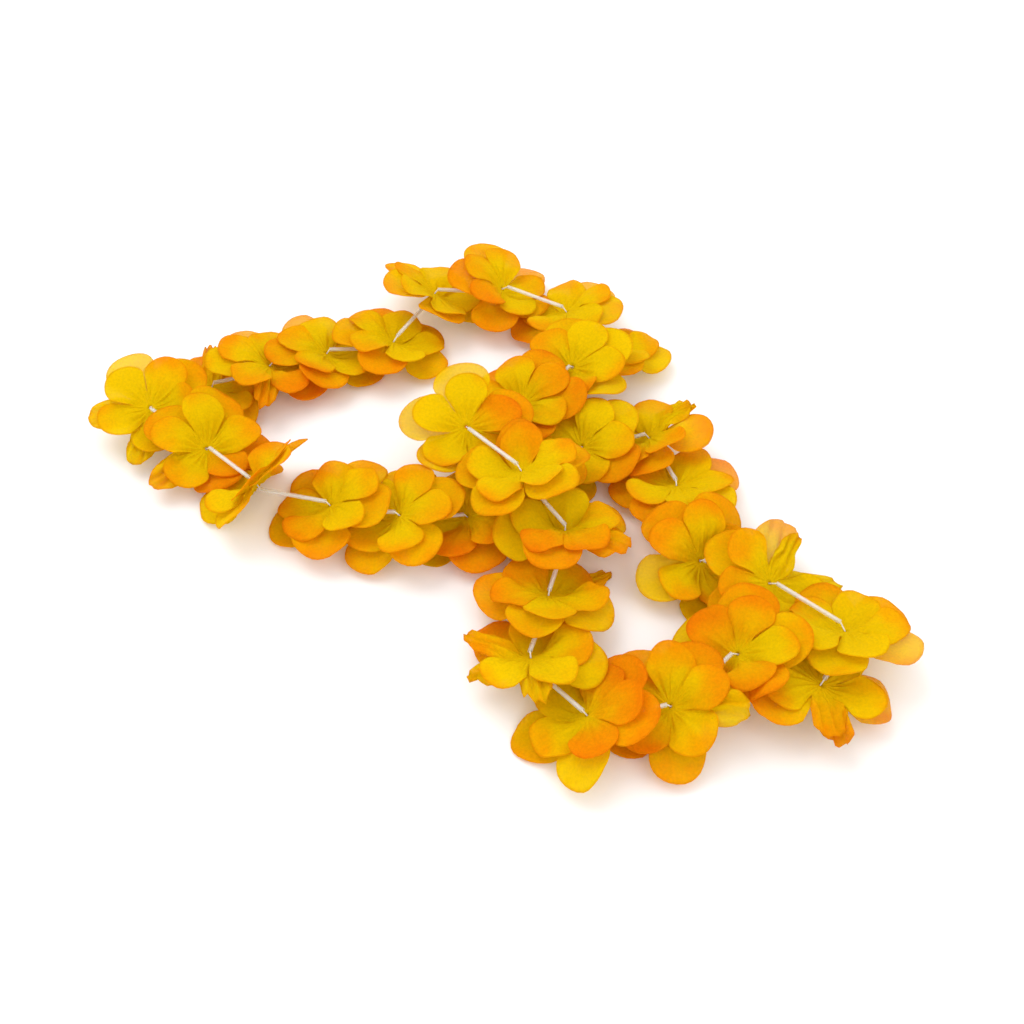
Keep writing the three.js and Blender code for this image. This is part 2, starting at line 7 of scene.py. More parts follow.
import logging
import math
from dataclasses import dataclass, field
from enum import Enum
from typing import ClassVar, Dict, List, Sequence, Tuple

import bmesh
import bpy
import numpy as np
from mathutils import Matrix, Vector
from mathutils.bvhtree import BVHTree

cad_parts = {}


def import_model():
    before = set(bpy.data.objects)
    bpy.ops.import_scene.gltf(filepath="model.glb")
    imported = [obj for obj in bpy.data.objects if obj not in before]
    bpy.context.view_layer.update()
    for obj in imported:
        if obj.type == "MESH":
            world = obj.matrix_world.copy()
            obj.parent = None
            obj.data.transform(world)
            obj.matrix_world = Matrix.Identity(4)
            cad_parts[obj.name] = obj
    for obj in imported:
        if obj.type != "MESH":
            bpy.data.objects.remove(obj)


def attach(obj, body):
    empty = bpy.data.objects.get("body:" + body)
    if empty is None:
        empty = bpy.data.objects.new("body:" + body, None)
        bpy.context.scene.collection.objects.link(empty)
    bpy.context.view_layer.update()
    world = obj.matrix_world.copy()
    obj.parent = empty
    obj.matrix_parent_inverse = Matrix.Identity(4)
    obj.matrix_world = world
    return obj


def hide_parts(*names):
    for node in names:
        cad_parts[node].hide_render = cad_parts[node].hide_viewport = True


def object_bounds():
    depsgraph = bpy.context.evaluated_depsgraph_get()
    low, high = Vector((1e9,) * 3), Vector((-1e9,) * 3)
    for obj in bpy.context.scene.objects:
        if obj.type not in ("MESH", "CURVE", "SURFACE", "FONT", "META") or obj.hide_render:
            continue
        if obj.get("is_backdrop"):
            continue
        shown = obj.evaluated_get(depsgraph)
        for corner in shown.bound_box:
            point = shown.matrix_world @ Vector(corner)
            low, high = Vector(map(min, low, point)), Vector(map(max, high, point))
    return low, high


LOG = logging.getLogger("lei")
MM = 0.001
UP = np.array([0.0, 0.0, 1.0])

Array = np.ndarray


class TopSide(Enum):
    """Which neighbouring spacer lies on the smaller blossom of a pair."""

    LAST = "last"
    NEXT = "next"


class Dye(Enum):
    """How far the orange spray reaches on a petal."""

    YELLOW = 0.0
    FAINT = 0.25
    TIP = 0.5
    HALF = 0.75
    FULL = 1.0


# A capital letter marks a petal that shows the white ground through it
DYE_LETTERS: Dict[str, Dye] = {
    "y": Dye.YELLOW,
    "f": Dye.FAINT,
    "t": Dye.TIP,
    "h": Dye.HALF,
    "o": Dye.FULL,
}


@dataclass(frozen=True)
class BlossomSizes:
    """Sizes shared by every blossom pair, in millimetres.

    The notch, lobe and rib places are fractions of the reach, from the hole. The laid cloth
    is the thickness that the heap is worked out with, the woven cloth the one that shows.
    """

    large_reach: float = 30.0
    small_reach: float = 25.0
    laid_cloth: float = 0.8
    woven_cloth: float = 0.22
    layer_pitch: float = 1.1
    hole_radius: float = 0.8
    pressed_radius: float = 2.6
    petals: int = 5
    notch_at: float = 0.27
    lobe_centre: float = 0.6
    lobe_radius: float = 0.365
    shoulder_angle: float = 38.0
    first_rib: float = 0.33
    second_rib: float = 0.68

    def reach(self, layer: int) -> float:
        """Hole to petal tip of the larger (0) or smaller (1) blossom."""
        return self.large_reach if layer == 0 else self.small_reach


@dataclass(frozen=True)
class SpacerSizes:
    """Sizes of the drinking-straw spacers, in millimetres.

    The room is the radius that petals keep free round a spacer's axis. Below the least
    slope, a spacer meets the blossoms squarely and needs no offset.
    """

    longest: float = 28.5
    end_gap: float = 0.2
    room: float = 1.5
    outer: float = 0.88
    wall: float = 0.18
    standoff: float = 1.7
    clearance: float = 0.8
    least_slope: float = 0.15


@dataclass(frozen=True)
class PairPlace:
    """Where one blossom pair sits on the thread and how it is turned."""

    at: Tuple[float, float, float]
    top: TopSide
    turn: Tuple[float, float]
    tilt: float
    stand: float
    dyes: Tuple[str, str]


NEXT, LAST = TopSide.NEXT, TopSide.LAST

# Blossom pairs in order along the thread: thread hole in millimetres, the spacer side of
# the smaller blossom, compass angle of a petal of each blossom, slope at the thread, share
# of that slope which raised petals keep, and the dye of each petal from that angle round.
PAIRS: Tuple[PairPlace, ...] = (
    PairPlace((-19, 26, 24), NEXT, (24, 20), 42, 0.3, ("hYYfh", "oyyfh")),
    PairPlace((4, 0, 24), LAST, (25, 20), 38, 0.3, ("thttt", "thftf")),
    PairPlace((21, -24, 15), LAST, (38, 15), 38, 0.2, ("tyfhh", "tyfoh")),
    PairPlace((14, -52, 9), LAST, (36, 52), 38, 0.2, ("thhtf", "thhtt")),
    PairPlace((7, -82, 10), LAST, (61, 15), 38, 0.1, ("thfff", "tthff")),
    PairPlace((27, -106, 9), LAST, (48, 66), 40, 0.5, ("oftyh", "oftoo")),
    PairPlace((57, -102, 9), LAST, (55, 10), 40, 0.3, ("hhhtF", "hhhht")),
    PairPlace((83, -82, 13), LAST, (0, 60), 40, 0.4, ("thyfh", "hoohf")),
    PairPlace((111, -95, 12), NEXT, (63, 51), 20, 0.1, ("fthhT", "ytthf")),
    PairPlace((124, -72, 13), NEXT, (33, 65), 38, 0.3, ("ttffT", "ftfyt")),
    PairPlace((99, -47, 11), LAST, (7, 60), 38, 0.2, ("yTtht", "fhhty")),
    PairPlace((74, -34, 9), LAST, (66, 15), 38, 0.2, ("thYft", "thhth")),
    PairPlace((68, 5, 10), NEXT, (26, 68), 32, 0.3, ("Hthhf", "thtft")),
    PairPlace((59, 34, 9), NEXT, (50, 15), 45, 0.4, ("tfohh", "ttfhh")),
    PairPlace((30, 29, 9), NEXT, (30, 60), 42, 0.2, ("fthth", "ftttt")),
    PairPlace((4, 8, 8), NEXT, (10, 40), 38, 0.1, ("tfftt", "hthht")),
    PairPlace((-18, -10, 8), NEXT, (66, 30), 38, 0.2, ("ttfoh", "tffoh")),
    PairPlace((-45, -13, 12), NEXT, (8, 62), 38, 0.2, ("ttftt", "tfttt")),
    PairPlace((-74, -5, 9), NEXT, (50, 18), 38, 0.2, ("tttht", "ttthf")),
    PairPlace((-105, 4, 13), NEXT, (40, 5), 62, 0.8, ("ttfft", "hhfft")),
    PairPlace((-130, 28, 9), LAST, (12, 30), 38, 0.2, ("httto", "tftto")),
    PairPlace((-156, 47, 15), LAST, (49, 67), 38, 0.3, ("tYfft", "tyfft")),
    PairPlace((-134, 67, 8), NEXT, (19, 28), 20, 0.1, ("hhttt", "hhtyt")),
    PairPlace((-109, 77, 12), NEXT, (55, 28), 38, 0.2, ("tTfho", "tftho")),
    PairPlace((-85, 90, 8), NEXT, (56, 36), 38, 0.2, ("fThht", "yfthf")),
    PairPlace((-55, 98, 8), NEXT, (40, 5), 38, 0.2, ("tttht", "fftty")),
    PairPlace((-37, 127, 13), NEXT, (67, 8), 45, 0.6, ("ttttf", "fftff")),
    PairPlace((-5, 131, 13), NEXT, (50, 20), 50, 0.3, ("Tthht", "tthof")),
    PairPlace((26, 117, 10), LAST, (50, 20), 38, 0.2, ("TThtf", "ttttf")),
    PairPlace((45, 92, 7), LAST, (62, 16), 38, 0.2, ("Tyttf", "tyttt")),
    PairPlace((27, 72, 16), NEXT, (20, 56), 38, 0.3, ("yfhhf", "yhhhf")),
    PairPlace((5, 53, 12), NEXT, (60, 30), 38, 0.1, ("hhthh", "httht")),
)


@dataclass(frozen=True)
class PetalHabit:
    """What handling did to one petal: gathered in pleats, or pulled straight."""

    gather: float = 0.0
    pull: float = 0.0


# Petals that were gathered or pulled: pair, layer (0 larger, 1 smaller), petal
HABITS: Dict[Tuple[int, int, int], PetalHabit] = {
    (3, 0, 4): PetalHabit(gather=0.3),
    (4, 0, 0): PetalHabit(gather=0.65, pull=0.08),
    (5, 0, 2): PetalHabit(gather=0.6, pull=-0.15),
    (5, 0, 3): PetalHabit(gather=0.5),
    (5, 1, 2): PetalHabit(gather=0.45, pull=0.08),
    (6, 0, 2): PetalHabit(pull=0.1),
    (6, 0, 3): PetalHabit(pull=0.2),
    (7, 0, 3): PetalHabit(pull=0.1),
    (7, 0, 4): PetalHabit(gather=0.35, pull=0.1),
    (9, 0, 3): PetalHabit(gather=0.5, pull=-0.12),
    (9, 1, 3): PetalHabit(gather=0.35),
    (11, 0, 0): PetalHabit(gather=0.4),
    (11, 0, 1): PetalHabit(gather=0.2, pull=0.1),
    (11, 1, 0): PetalHabit(gather=0.6),
    (14, 0, 0): PetalHabit(gather=0.65),
    (14, 1, 0): PetalHabit(gather=0.7),
    (21, 0, 3): PetalHabit(gather=0.4),
    (22, 0, 1): PetalHabit(pull=0.08),
    (22, 0, 2): PetalHabit(gather=0.2, pull=-0.12),
    (22, 0, 3): PetalHabit(gather=0.5),
    (23, 1, 1): PetalHabit(gather=0.6, pull=0.1),
    (24, 0, 3): PetalHabit(gather=0.55),
}

# The order in which the pieces come to lie on each other, bottom first. A number is a
# blossom pair, a number with a minus sign is the spacer that follows that pair.
LAYING: Tuple[int, ...] = (
    -12, 13, -13, 14, -14, 15, -15, 16, -16, 17, -17, 18, -18, 19, -19, 20,
    -22, 23, -23, 22, -21, 21, -20, 24, -24, 25, -25, 26, -26, 27, -27,
    -30, 30, -29, 29, 28, -28, 31, -31, 32, -32,
    12, -11, -8, 9, -9, 11, 10, -10,
    8, -7, 7, -6, 6, -5, 5, -4, 4, -3, 3, -2, 1, 2, -1,
)  # fmt: skip

# Spacers that lie wholly hidden in the pile
HIDDEN_SPACERS: Tuple[int, ...] = (8, 13, 15, 16, 32)

# Middle of the laid garland, moved to the origin
CENTRE = np.array([-17.02, 10.99, 0.0])


def smooth_step(value: float) -> float:
    """A soft ramp from 0 to 1."""
    clipped = min(max(value, 0.0), 1.0)
    return clipped * clipped * (3.0 - 2.0 * clipped)


def vary(pair: int, petal: int, purpose: int) -> float:
    """A repeatable number from -1 to 1.

    Args:
        pair: Index of the blossom pair.
        petal: Index of the petal in the pair.
        purpose: What the number is used for.

    Returns:
        The same number for the same three inputs.
    """
    wave = math.sin(pair * 12.9898 + petal * 78.233 + purpose * 37.719) * 43758.5453
    return 2.0 * (wave - math.floor(wave)) - 1.0


def unit(vector: Array) -> Array:
    """The vector at length 1."""
    return vector / np.linalg.norm(vector)


def grid_area(points: Array, columns: int) -> float:
    """Area of a flat or bent grid, from the diagonals of its cells.

    Args:
        points: Grid points, row by row.
        columns: Cells in a row.

    Returns:
        The area in the square of the points' unit.
    """
    grid = points.reshape(-1, columns + 1, points.shape[1])
    one = grid[1:, 1:] - grid[:-1, :-1]
    other = grid[:-1, 1:] - grid[1:, :-1]
    square = (one**2).sum(-1) * (other**2).sum(-1) - (one * other).sum(-1) ** 2
    return 0.5 * float(np.sqrt(np.maximum(square, 0.0)).sum())


@dataclass
class Hub:
    """Thread hole, tilt and in-plane directions of a blossom pair."""

    at: Array
    before: Array
    after: Array
    rise: Array
    axis: Array
    bearing: float
    tilt: float

    def plane(self, tilt: float) -> Tuple[Array, Array]:
        """Climb direction and normal of the plane at a tilt in radians."""
        climb = self.rise * math.cos(tilt) + UP * math.sin(tilt)
        return climb, np.cross(self.axis, climb)

    def ring_point(self, origin: Array, angle: float, radius: float) -> Array:
        """A point of the flat middle of a blossom."""
        climb, _ = self.plane(self.tilt)
        return (
            origin
            + self.axis * (radius * math.cos(angle))
            + climb * (radius * math.sin(angle))
        )


@dataclass(frozen=True)
class PetalForm:
    """How one petal leaves the tilted plane at the thread.

    The fields hold angles in radians. The constants hold lean, swing and twist in degrees;
    a pair of numbers there is a middle value and how far it may vary.
    """

    stand: float
    swing: float
    droop: float
    twist: float
    cup: float

    BEND_START: ClassVar[float] = 0.12
    BEND_END: ClassVar[float] = 0.55
    LOW_STAND: ClassVar[float] = 0.08
    STAND_SPREAD: ClassVar[float] = 0.12
    LOWER_LEAN: ClassVar[Tuple[float, float]] = (5.0, 3.0)
    UPPER_LEAN: ClassVar[Tuple[float, float]] = (-5.0, 4.0)
    SWING: ClassVar[float] = 3.0
    TWIST: ClassVar[float] = 6.0
    CUP: ClassVar[Tuple[float, float]] = (0.25, 0.25)
    STEPS: ClassVar[int] = 24

    @classmethod
    def of(cls, pair: int, layer: int, petal: int, angle: float) -> "PetalForm":
        """The form of a petal.

        Args:
            pair: Index of the blossom pair.
            layer: 0 for the larger blossom, 1 for the smaller.
            petal: Index of the petal.
            angle: Its direction in the tilted plane, in radians.

        Returns:
            The petal's form.
        """
        key = layer * 5 + petal
        raised = math.sin(angle)
        stand = PAIRS[pair].stand if raised > 0 else cls.LOW_STAND
        lean, lean_spread = cls.UPPER_LEAN if layer else cls.LOWER_LEAN
        return cls(
            stand=stand
            + (1 - stand)
            * cls.STAND_SPREAD
            * (1 + vary(pair, key, 1))
            * max(raised, 0.0),
            swing=math.radians(cls.SWING) * vary(pair, key, 2),
            droop=math.radians(lean + lean_spread * vary(pair, key, 3)),
            twist=math.radians(cls.TWIST) * vary(pair, key, 4),
            cup=cls.CUP[0] + cls.CUP[1] * vary(pair, key, 5),
        )

    def place(
        self, hub: Hub, origin: Array, angle: float, reach: float, flat: Array
    ) -> Array:
        """Bends flat petal points into space.

        Args:
            hub: The pair's hub.
            origin: Middle of the blossom.
            angle: Direction of the petal in the tilted plane, in radians.
            reach: Hole to petal tip, in millimetres.
            flat: Rows of [distance from the hole, distance off the midline], as
                fractions of the reach.

        Returns:
            One row of x, y, z for each flat row.
        """
        s, t = flat[:, 0], flat[:, 1]
        place = np.tile(origin, (len(flat), 1)).astype(float)
        forward = sideways = outward = None
        for step in range(self.STEPS + 1):
            here = s * step / self.STEPS
            ratio = np.clip(
                (here - self.BEND_START) / (self.BEND_END - self.BEND_START), 0, 1
            )
            bend = ratio * ratio * (3 - 2 * ratio)
            tilt = hub.tilt * (1 - (1 - self.stand) * bend)
            climb = np.outer(np.cos(tilt), hub.rise) + np.outer(np.sin(tilt), UP)
            normal = np.cross(hub.axis, climb)
            turned = (angle + self.swing * bend)[:, None]
            ahead = hub.axis * np.cos(turned) + climb * np.sin(turned)
            beside = -hub.axis * np.sin(turned) + climb * np.cos(turned)
            droop = (self.droop * bend)[:, None]
            forward = ahead * np.cos(droop) - normal * np.sin(droop)
            lifted = normal * np.cos(droop) + ahead * np.sin(droop)
            twist = (self.twist * bend)[:, None]
            sideways = beside * np.cos(twist) + lifted * np.sin(twist)
            outward = lifted * np.cos(twist) - beside * np.sin(twist)
            if step < self.STEPS:
                place += forward * (s * reach / self.STEPS)[:, None]
        place += sideways * (t * reach)[:, None]
        place += outward * (self.cup * t * t * reach)[:, None]
        return place


@dataclass
class TableMap:
    """Height of whatever lies on the table, cell by cell, in millimetres.

    A sheet's upright thickness is worked out as if it were no steeper than the steepest
    cosine allows.
    """

    gap: float = 0.25
    cell: float = 0.8
    low_x: float = -200.0
    low_y: float = -160.0
    columns: int = 475
    rows: int = 440
    steepest: float = 0.3
    heights: Array = field(init=False)

    def __post_init__(self) -> None:
        """Starts from a bare table."""
        self.heights = np.full(self.columns * self.rows, -self.gap)

    def cover(self, corners: Array) -> Tuple[Array, Array]:
        """Cells under a triangle, seen from above.

        Args:
            corners: Three rows of x, y, z.

        Returns:
            The cell numbers and, for each, the weights of the three corners.
        """
        a, b, c = corners
        area = (b[0] - a[0]) * (c[1] - a[1]) - (c[0] - a[0]) * (b[1] - a[1])
        if abs(area) < 1e-6:
            return np.zeros(0, int), np.zeros((0, 3))
        low, high = corners.min(axis=0), corners.max(axis=0)
        columns = np.arange(
            math.ceil((low[0] - self.low_x) / self.cell),
            math.floor((high[0] - self.low_x) / self.cell) + 1,
        )
        rows = np.arange(
            math.ceil((low[1] - self.low_y) / self.cell),
            math.floor((high[1] - self.low_y) / self.cell) + 1,
        )
        x = (self.low_x + columns * self.cell)[None, :]
        y = (self.low_y + rows * self.cell)[:, None]
        wb = ((x - a[0]) * (c[1] - a[1]) - (c[0] - a[0]) * (y - a[1])) / area
        wc = ((b[0] - a[0]) * (y - a[1]) - (x - a[0]) * (b[1] - a[1])) / area
        wa = 1 - wb - wc
        inside = (wa >= 0) & (wb >= 0) & (wc >= 0)
        cells = rows[:, None] * self.columns + columns[None, :]
        return cells[inside], np.stack([wa[inside], wb[inside], wc[inside]], axis=1)

    def upright_half(self, corners: Array, cloth: float) -> float:
        """Half the upright thickness of a sloped sheet."""
        face = np.cross(corners[1] - corners[0], corners[2] - corners[0])
        cosine = abs(face[2]) / max(float(np.linalg.norm(face)), 1e-9)
        return cloth / 2 / max(cosine, self.steepest)

    def print_sheet(
        self, triangles: Sequence[Array], cloth: float, onto: Array, above: bool
    ) -> None:
        """Marks a sheet on a map.

        Args:
            triangles: Corner arrays of the sheet.
            cloth: Its thickness.
            onto: The map to mark.
            above: Whether the sheet is a ceiling for what lies below it.
        """
        for corners in triangles:
            half = self.upright_half(corners, cloth)
            cells, weights = self.cover(corners)
            if len(cells) == 0:
                continue
            height = weights @ corners[:, 2]
            if above:
                np.minimum.at(onto, cells, height - half)
            else:
                np.maximum.at(onto, cells, height + half)

    def print_rod(self, start: Array, end: Array, radius: float, onto: Array, above: bool) -> None:
        """Marks a spacer on a map, as the sheet is marked."""
        along = end - start
        flat = math.hypot(along[0], along[1])
        reach = radius + self.cell / 2
        low = np.minimum(start, end) - reach
        high = np.maximum(start, end) + reach
        columns = np.arange(
            math.floor((low[0] - self.low_x) / self.cell),
            math.ceil((high[0] - self.low_x) / self.cell) + 1,
        )
        rows = np.arange(
            math.floor((low[1] - self.low_y) / self.cell),
            math.ceil((high[1] - self.low_y) / self.cell) + 1,
        )
        dx = (self.low_x + columns * self.cell - start[0])[None, :]
        dy = (self.low_y + rows * self.cell - start[1])[:, None]
        share = np.clip((dx * along[0] + dy * along[1]) / (flat * flat), 0, 1)
        away = np.hypot(dx - share * along[0], dy - share * along[1])
        inside = away <= reach
        cells = (rows[:, None] * self.columns + columns[None, :])[inside]
        height = (start[2] + share * along[2])[inside]
        if above:
            np.minimum.at(onto, cells, height - radius)
        else:
            np.maximum.at(onto, cells, height + radius)


@dataclass
class LaidBlossom:
    """One blossom after it came to rest: its petals' guide points."""

    origin: Array
    normal: Array
    turn: float
    forms: List[PetalForm]
    guides: List[Dict[str, Array]]


@dataclass
class Garland:
    """Lays blossoms and spacers on the table in order.

    Petals are pushed by no more than the push limit, in millimetres. A push spreads over
    the share of the reach given by the spread, and a tip nearer to the table than the
    settle height comes to lie on it.
    """

    sizes: BlossomSizes = field(default_factory=BlossomSizes)
    spacer: SpacerSizes = field(default_factory=SpacerSizes)
    table: TableMap = field(default_factory=TableMap)
    lift_rounds: int = 60
    ceiling_rounds: int = 40
    largest_push: float = 1.2
    push_limit: float = 14.0
    settle: float = 0.5
    least_grip: float = 0.3
    spread: float = 0.45
    disc_sides: int = 16
    hubs: List[Hub] = field(init=False)
    spacers: List[Tuple[Array, Array]] = field(init=False)
    laid: Dict[int, Tuple[LaidBlossom, LaidBlossom]] = field(default_factory=dict)

    FIXED: ClassVar[Tuple[str, ...]] = ("root_a", "root_b", "notch_a", "notch_b")
    FACES: ClassVar[Tuple[Tuple[str, str, str], ...]] = (
        ("root_a", "rib_one", "root_b"),
        ("root_a", "notch_a", "rib_one"),
        ("root_b", "rib_one", "notch_b"),
        ("notch_a", "side_a", "rib_one"),
        ("notch_b", "rib_one", "side_b"),
        ("side_a", "rib_two", "rib_one"),
        ("side_b", "rib_one", "rib_two"),
        ("side_a", "shoulder_a", "rib_two"),
        ("side_b", "rib_two", "shoulder_b"),
        ("shoulder_a", "tip", "rib_two"),
        ("shoulder_b", "rib_two", "tip"),
    )

    def __post_init__(self) -> None:
        """Finds the hubs and the spacers between them."""
        count = len(PAIRS)
        self.hubs = [self._hub(index) for index in range(count)]
        self.spacers = [self._spacer_line(index) for index in range(count)]

    def guide_outline(self) -> Dict[str, Tuple[float, float]]:
        """Flat guide points of a petal that may be pushed."""
        z = self.sizes
        angle = math.radians(z.shoulder_angle)
        ahead = z.lobe_centre + z.lobe_radius * math.cos(angle)
        aside = z.lobe_radius * math.sin(angle)
        return {
            "side_a": (z.lobe_centre, -z.lobe_radius),
            "side_b": (z.lobe_centre, z.lobe_radius),
            "shoulder_a": (ahead, -aside),
            "shoulder_b": (ahead, aside),
            "tip": (z.lobe_centre + z.lobe_radius, 0.0),
            "rib_one": (z.first_rib, 0.0),
            "rib_two": (z.second_rib, 0.0),
        }

    def _hub(self, index: int) -> Hub:
        """The hub of a pair."""
        pair = PAIRS[index]
        at = np.array(pair.at, float)
        before = unit(np.array(PAIRS[index - 1].at, float) - at)
        after = unit(np.array(PAIRS[(index + 1) % len(PAIRS)].at, float) - at)
        top, low = (before, after) if pair.top is LAST else (after, before)
        lean = top - low
        lean[2] = 0.0
        rise = -unit(lean)
        axis = np.cross(rise, UP)
        bearing = math.atan2(axis[1], axis[0])
        return Hub(at, before, after, rise, axis, bearing, math.radians(pair.tilt))

    def _spacer_end(self, index: int, towards: Array, on_top: bool) -> Array:
        """Where a spacer ends clear of the sloped blossoms."""
        hub = self.hubs[index]
        normal = hub.plane(hub.tilt)[1]
        side = 1.0 if on_top else -1.0
        along = float(normal @ towards)
        across = normal - towards * along
        slope = float(np.linalg.norm(across))
        end = hub.at + towards * self.spacer.standoff
        if slope < self.spacer.least_slope:
            return end
        skin = (self.sizes.layer_pitch + self.sizes.laid_cloth) / 2
        skin += self.spacer.clearance
        room = skin + self.spacer.room * slope - side * self.spacer.standoff * along
        return end + unit(across) * (side * max(0.0, room / slope))

    def _spacer_line(self, index: int) -> Tuple[Array, Array]:
        """Both ends of the spacer after a pair."""
        after = (index + 1) % len(PAIRS)
        first = self._spacer_end(
            index, self.hubs[index].after, PAIRS[index].top is NEXT
        )
        last = self._spacer_end(after, self.hubs[after].before, PAIRS[after].top is LAST)
        room = float(np.linalg.norm(last - first))
        direction = (last - first) / room
        middle = first + direction * (room / 2)
        length = min(self.spacer.longest, room - self.spacer.end_gap)
        return middle - direction * (length / 2), middle + direction * (length / 2)

    def _disc(self, index: int, layer: int) -> List[Array]:
        """The stiff middle of a blossom, out to its notches, as a fan."""
        hub = self.hubs[index]
        normal = hub.plane(hub.tilt)[1]
        origin = hub.at + normal * ((layer - 0.5) * self.sizes.layer_pitch)
        radius = self.sizes.notch_at * self.sizes.reach(layer)
        sides = self.disc_sides
        rim = [
            hub.ring_point(origin, 2 * math.pi * k / sides, radius)
            for k in range(sides)
        ]
        return [np.stack([origin, rim[k], rim[(k + 1) % sides]]) for k in range(sides)]

    def _ceiling_after(self, place: int) -> Array:
        """Undersides of what comes to lie on a piece later."""
        ceiling = np.full(self.table.columns * self.table.rows, np.inf)
        for entry in LAYING[place + 1 :]:
            if entry < 0:
                start, end = self.spacers[-entry - 1]
                self.table.print_rod(start, end, self.spacer.room, ceiling, True)
            else:
                fan = self._disc(entry - 1, 0)
                self.table.print_sheet(fan, self.sizes.laid_cloth, ceiling, True)
        return ceiling

    def _clear(self, guides: Dict[str, Array], ceiling: Array, reach: float) -> None:
        """Moves a petal up off the heap and down from what lies above it.

        Args:
            guides: The petal's guide points, changed in place.
            ceiling: The map of what comes to lie above.
            reach: Hole to petal tip, in millimetres.
        """
        cloth = self.sizes.laid_cloth
        names = list(guides)
        order = {name: k for k, name in enumerate(names)}
        points = np.stack([guides[name] for name in names])
        movable = np.array([name not in self.FIXED for name in names])
        free = points[:, 2].copy()
        faces = [np.array([order[name] for name in face]) for face in self.FACES]
        covers = [self.table.cover(points[face]) for face in faces]
        grips = [
            weights @ movable[face].astype(float)
            for face, (_, weights) in zip(faces, covers)
        ]
        for turn in range(self.lift_rounds):
            moved = False
            for face, (cells, weights), grip in zip(faces, covers, grips):
                if len(cells) == 0:
                    continue
                corners = points[face]
                half = self.table.upright_half(corners, cloth)
                height = weights @ corners[:, 2]
                lack = self.table.heights[cells] + self.table.gap + half - height
                push = np.where(lack > 0, lack, 0.0)
                if turn < self.ceiling_rounds:
                    excess = height + half + self.table.gap - ceiling[cells]
                    push = np.where(lack > 0, lack, -np.maximum(excess, 0.0))
                push = np.where(grip > self.least_grip, push, 0.0)
                worst = int(np.argmax(np.abs(push)))
                if abs(push[worst]) <= 1e-3:
                    continue
                moved = True
                found = weights[worst]
                x, y = found @ corners[:, 0], found @ corners[:, 1]
                away = (points[:, 0] - x) ** 2 + (points[:, 1] - y) ** 2
                share = 1 / (1 + away / (self.spread * reach) ** 2)
                total = float((found * movable[face]) @ share[face])
                shift = push[worst] * np.minimum(share / total, self.largest_push)
                lifted = np.clip(
                    points[:, 2] + shift, free - self.push_limit, free + self.push_limit
                )
                points[:, 2] = np.where(movable, lifted, points[:, 2])
            if not moved:
                break
        for name, k in order.items():
            guides[name] = points[k]

    def _blossom(self, index: int, layer: int, ceiling: Array) -> LaidBlossom:
        """Bends one blossom over the heap and prints it on the map."""
        z = self.sizes
        hub = self.hubs[index]
        reach = z.reach(layer)
        normal = hub.plane(hub.tilt)[1]
        origin = hub.at + normal * ((layer - 0.5) * z.layer_pitch)
        turn = math.radians(PAIRS[index].turn[layer]) - hub.bearing
        half = math.pi / z.petals
        outline = self.guide_outline()
        flat = np.array(list(outline.values()))
        laid = LaidBlossom(origin, normal, turn, [], [])
        for petal in range(z.petals):
            angle = turn + 2 * petal * half
            form = PetalForm.of(index, layer, petal, angle)
            low, high = angle - half, angle + half
            guides = {
                "root_a": hub.ring_point(origin, low, z.pressed_radius),
                "root_b": hub.ring_point(origin, high, z.pressed_radius),
                "notch_a": hub.ring_point(origin, low, z.notch_at * reach),
                "notch_b": hub.ring_point(origin, high, z.notch_at * reach),
            }
            bent = form.place(hub, origin, angle, reach, flat)
            guides.update(dict(zip(outline, bent)))
            self._clear(guides, ceiling, reach)
            for name in outline:
                if guides[name][2] < z.laid_cloth / 2 + self.settle:
                    guides[name][2] = z.laid_cloth / 2
            laid.forms.append(form)
            laid.guides.append(guides)
        for guides in laid.guides:
            triangles = [
                np.stack([guides[name] for name in face]) for face in self.FACES
            ]
            self.table.print_sheet(triangles, z.laid_cloth, self.table.heights, False)
        return laid

    def lay(self) -> None:
        """Lays every piece in order."""
        cloth = self.sizes.laid_cloth
        for place, entry in enumerate(LAYING):
            if entry < 0:
                start, end = self.spacers[-entry - 1]
                self.table.print_rod(
                    start, end, self.spacer.room, self.table.heights, False
                )
                continue
            index = entry - 1
            ceiling = self._ceiling_after(place)
            under = ceiling.copy()
            self.table.print_sheet(self._disc(index, 1), cloth, under, True)
            lower = self._blossom(index, 0, under)
            upper = self._blossom(index, 1, ceiling)
            self.laid[index] = (lower, upper)
        LOG.info("laid %d blossom pairs", len(self.laid))


@dataclass
class ThinPlate:
    """A smooth surface of offsets through scattered guide points."""

    sites: Array
    values: Array
    slack: float = 0.0
    weights: Array = field(init=False)

    def __post_init__(self) -> None:
        """Solves for the surface."""
        count = len(self.sites)
        kernel = self._kernel(self.sites) + np.eye(count) * self.slack
        plane = np.hstack([np.ones((count, 1)), self.sites])
        system = np.block([[kernel, plane], [plane.T, np.zeros((3, 3))]])
        target = np.vstack([self.values, np.zeros((3, self.values.shape[1]))])
        self.weights = np.linalg.solve(system, target)

    def _kernel(self, at: Array) -> Array:
        """The plate's response between the given points and the guide points."""
        away = ((at[:, None, :] - self.sites[None, :, :]) ** 2).sum(axis=2)
        return 0.5 * away * np.log(np.maximum(away, 1e-12))

    def at(self, flat: Array) -> Array:
        """Offsets at flat points."""
        basis = np.hstack([self._kernel(flat), np.ones((len(flat), 1)), flat])
        return basis @ self.weights


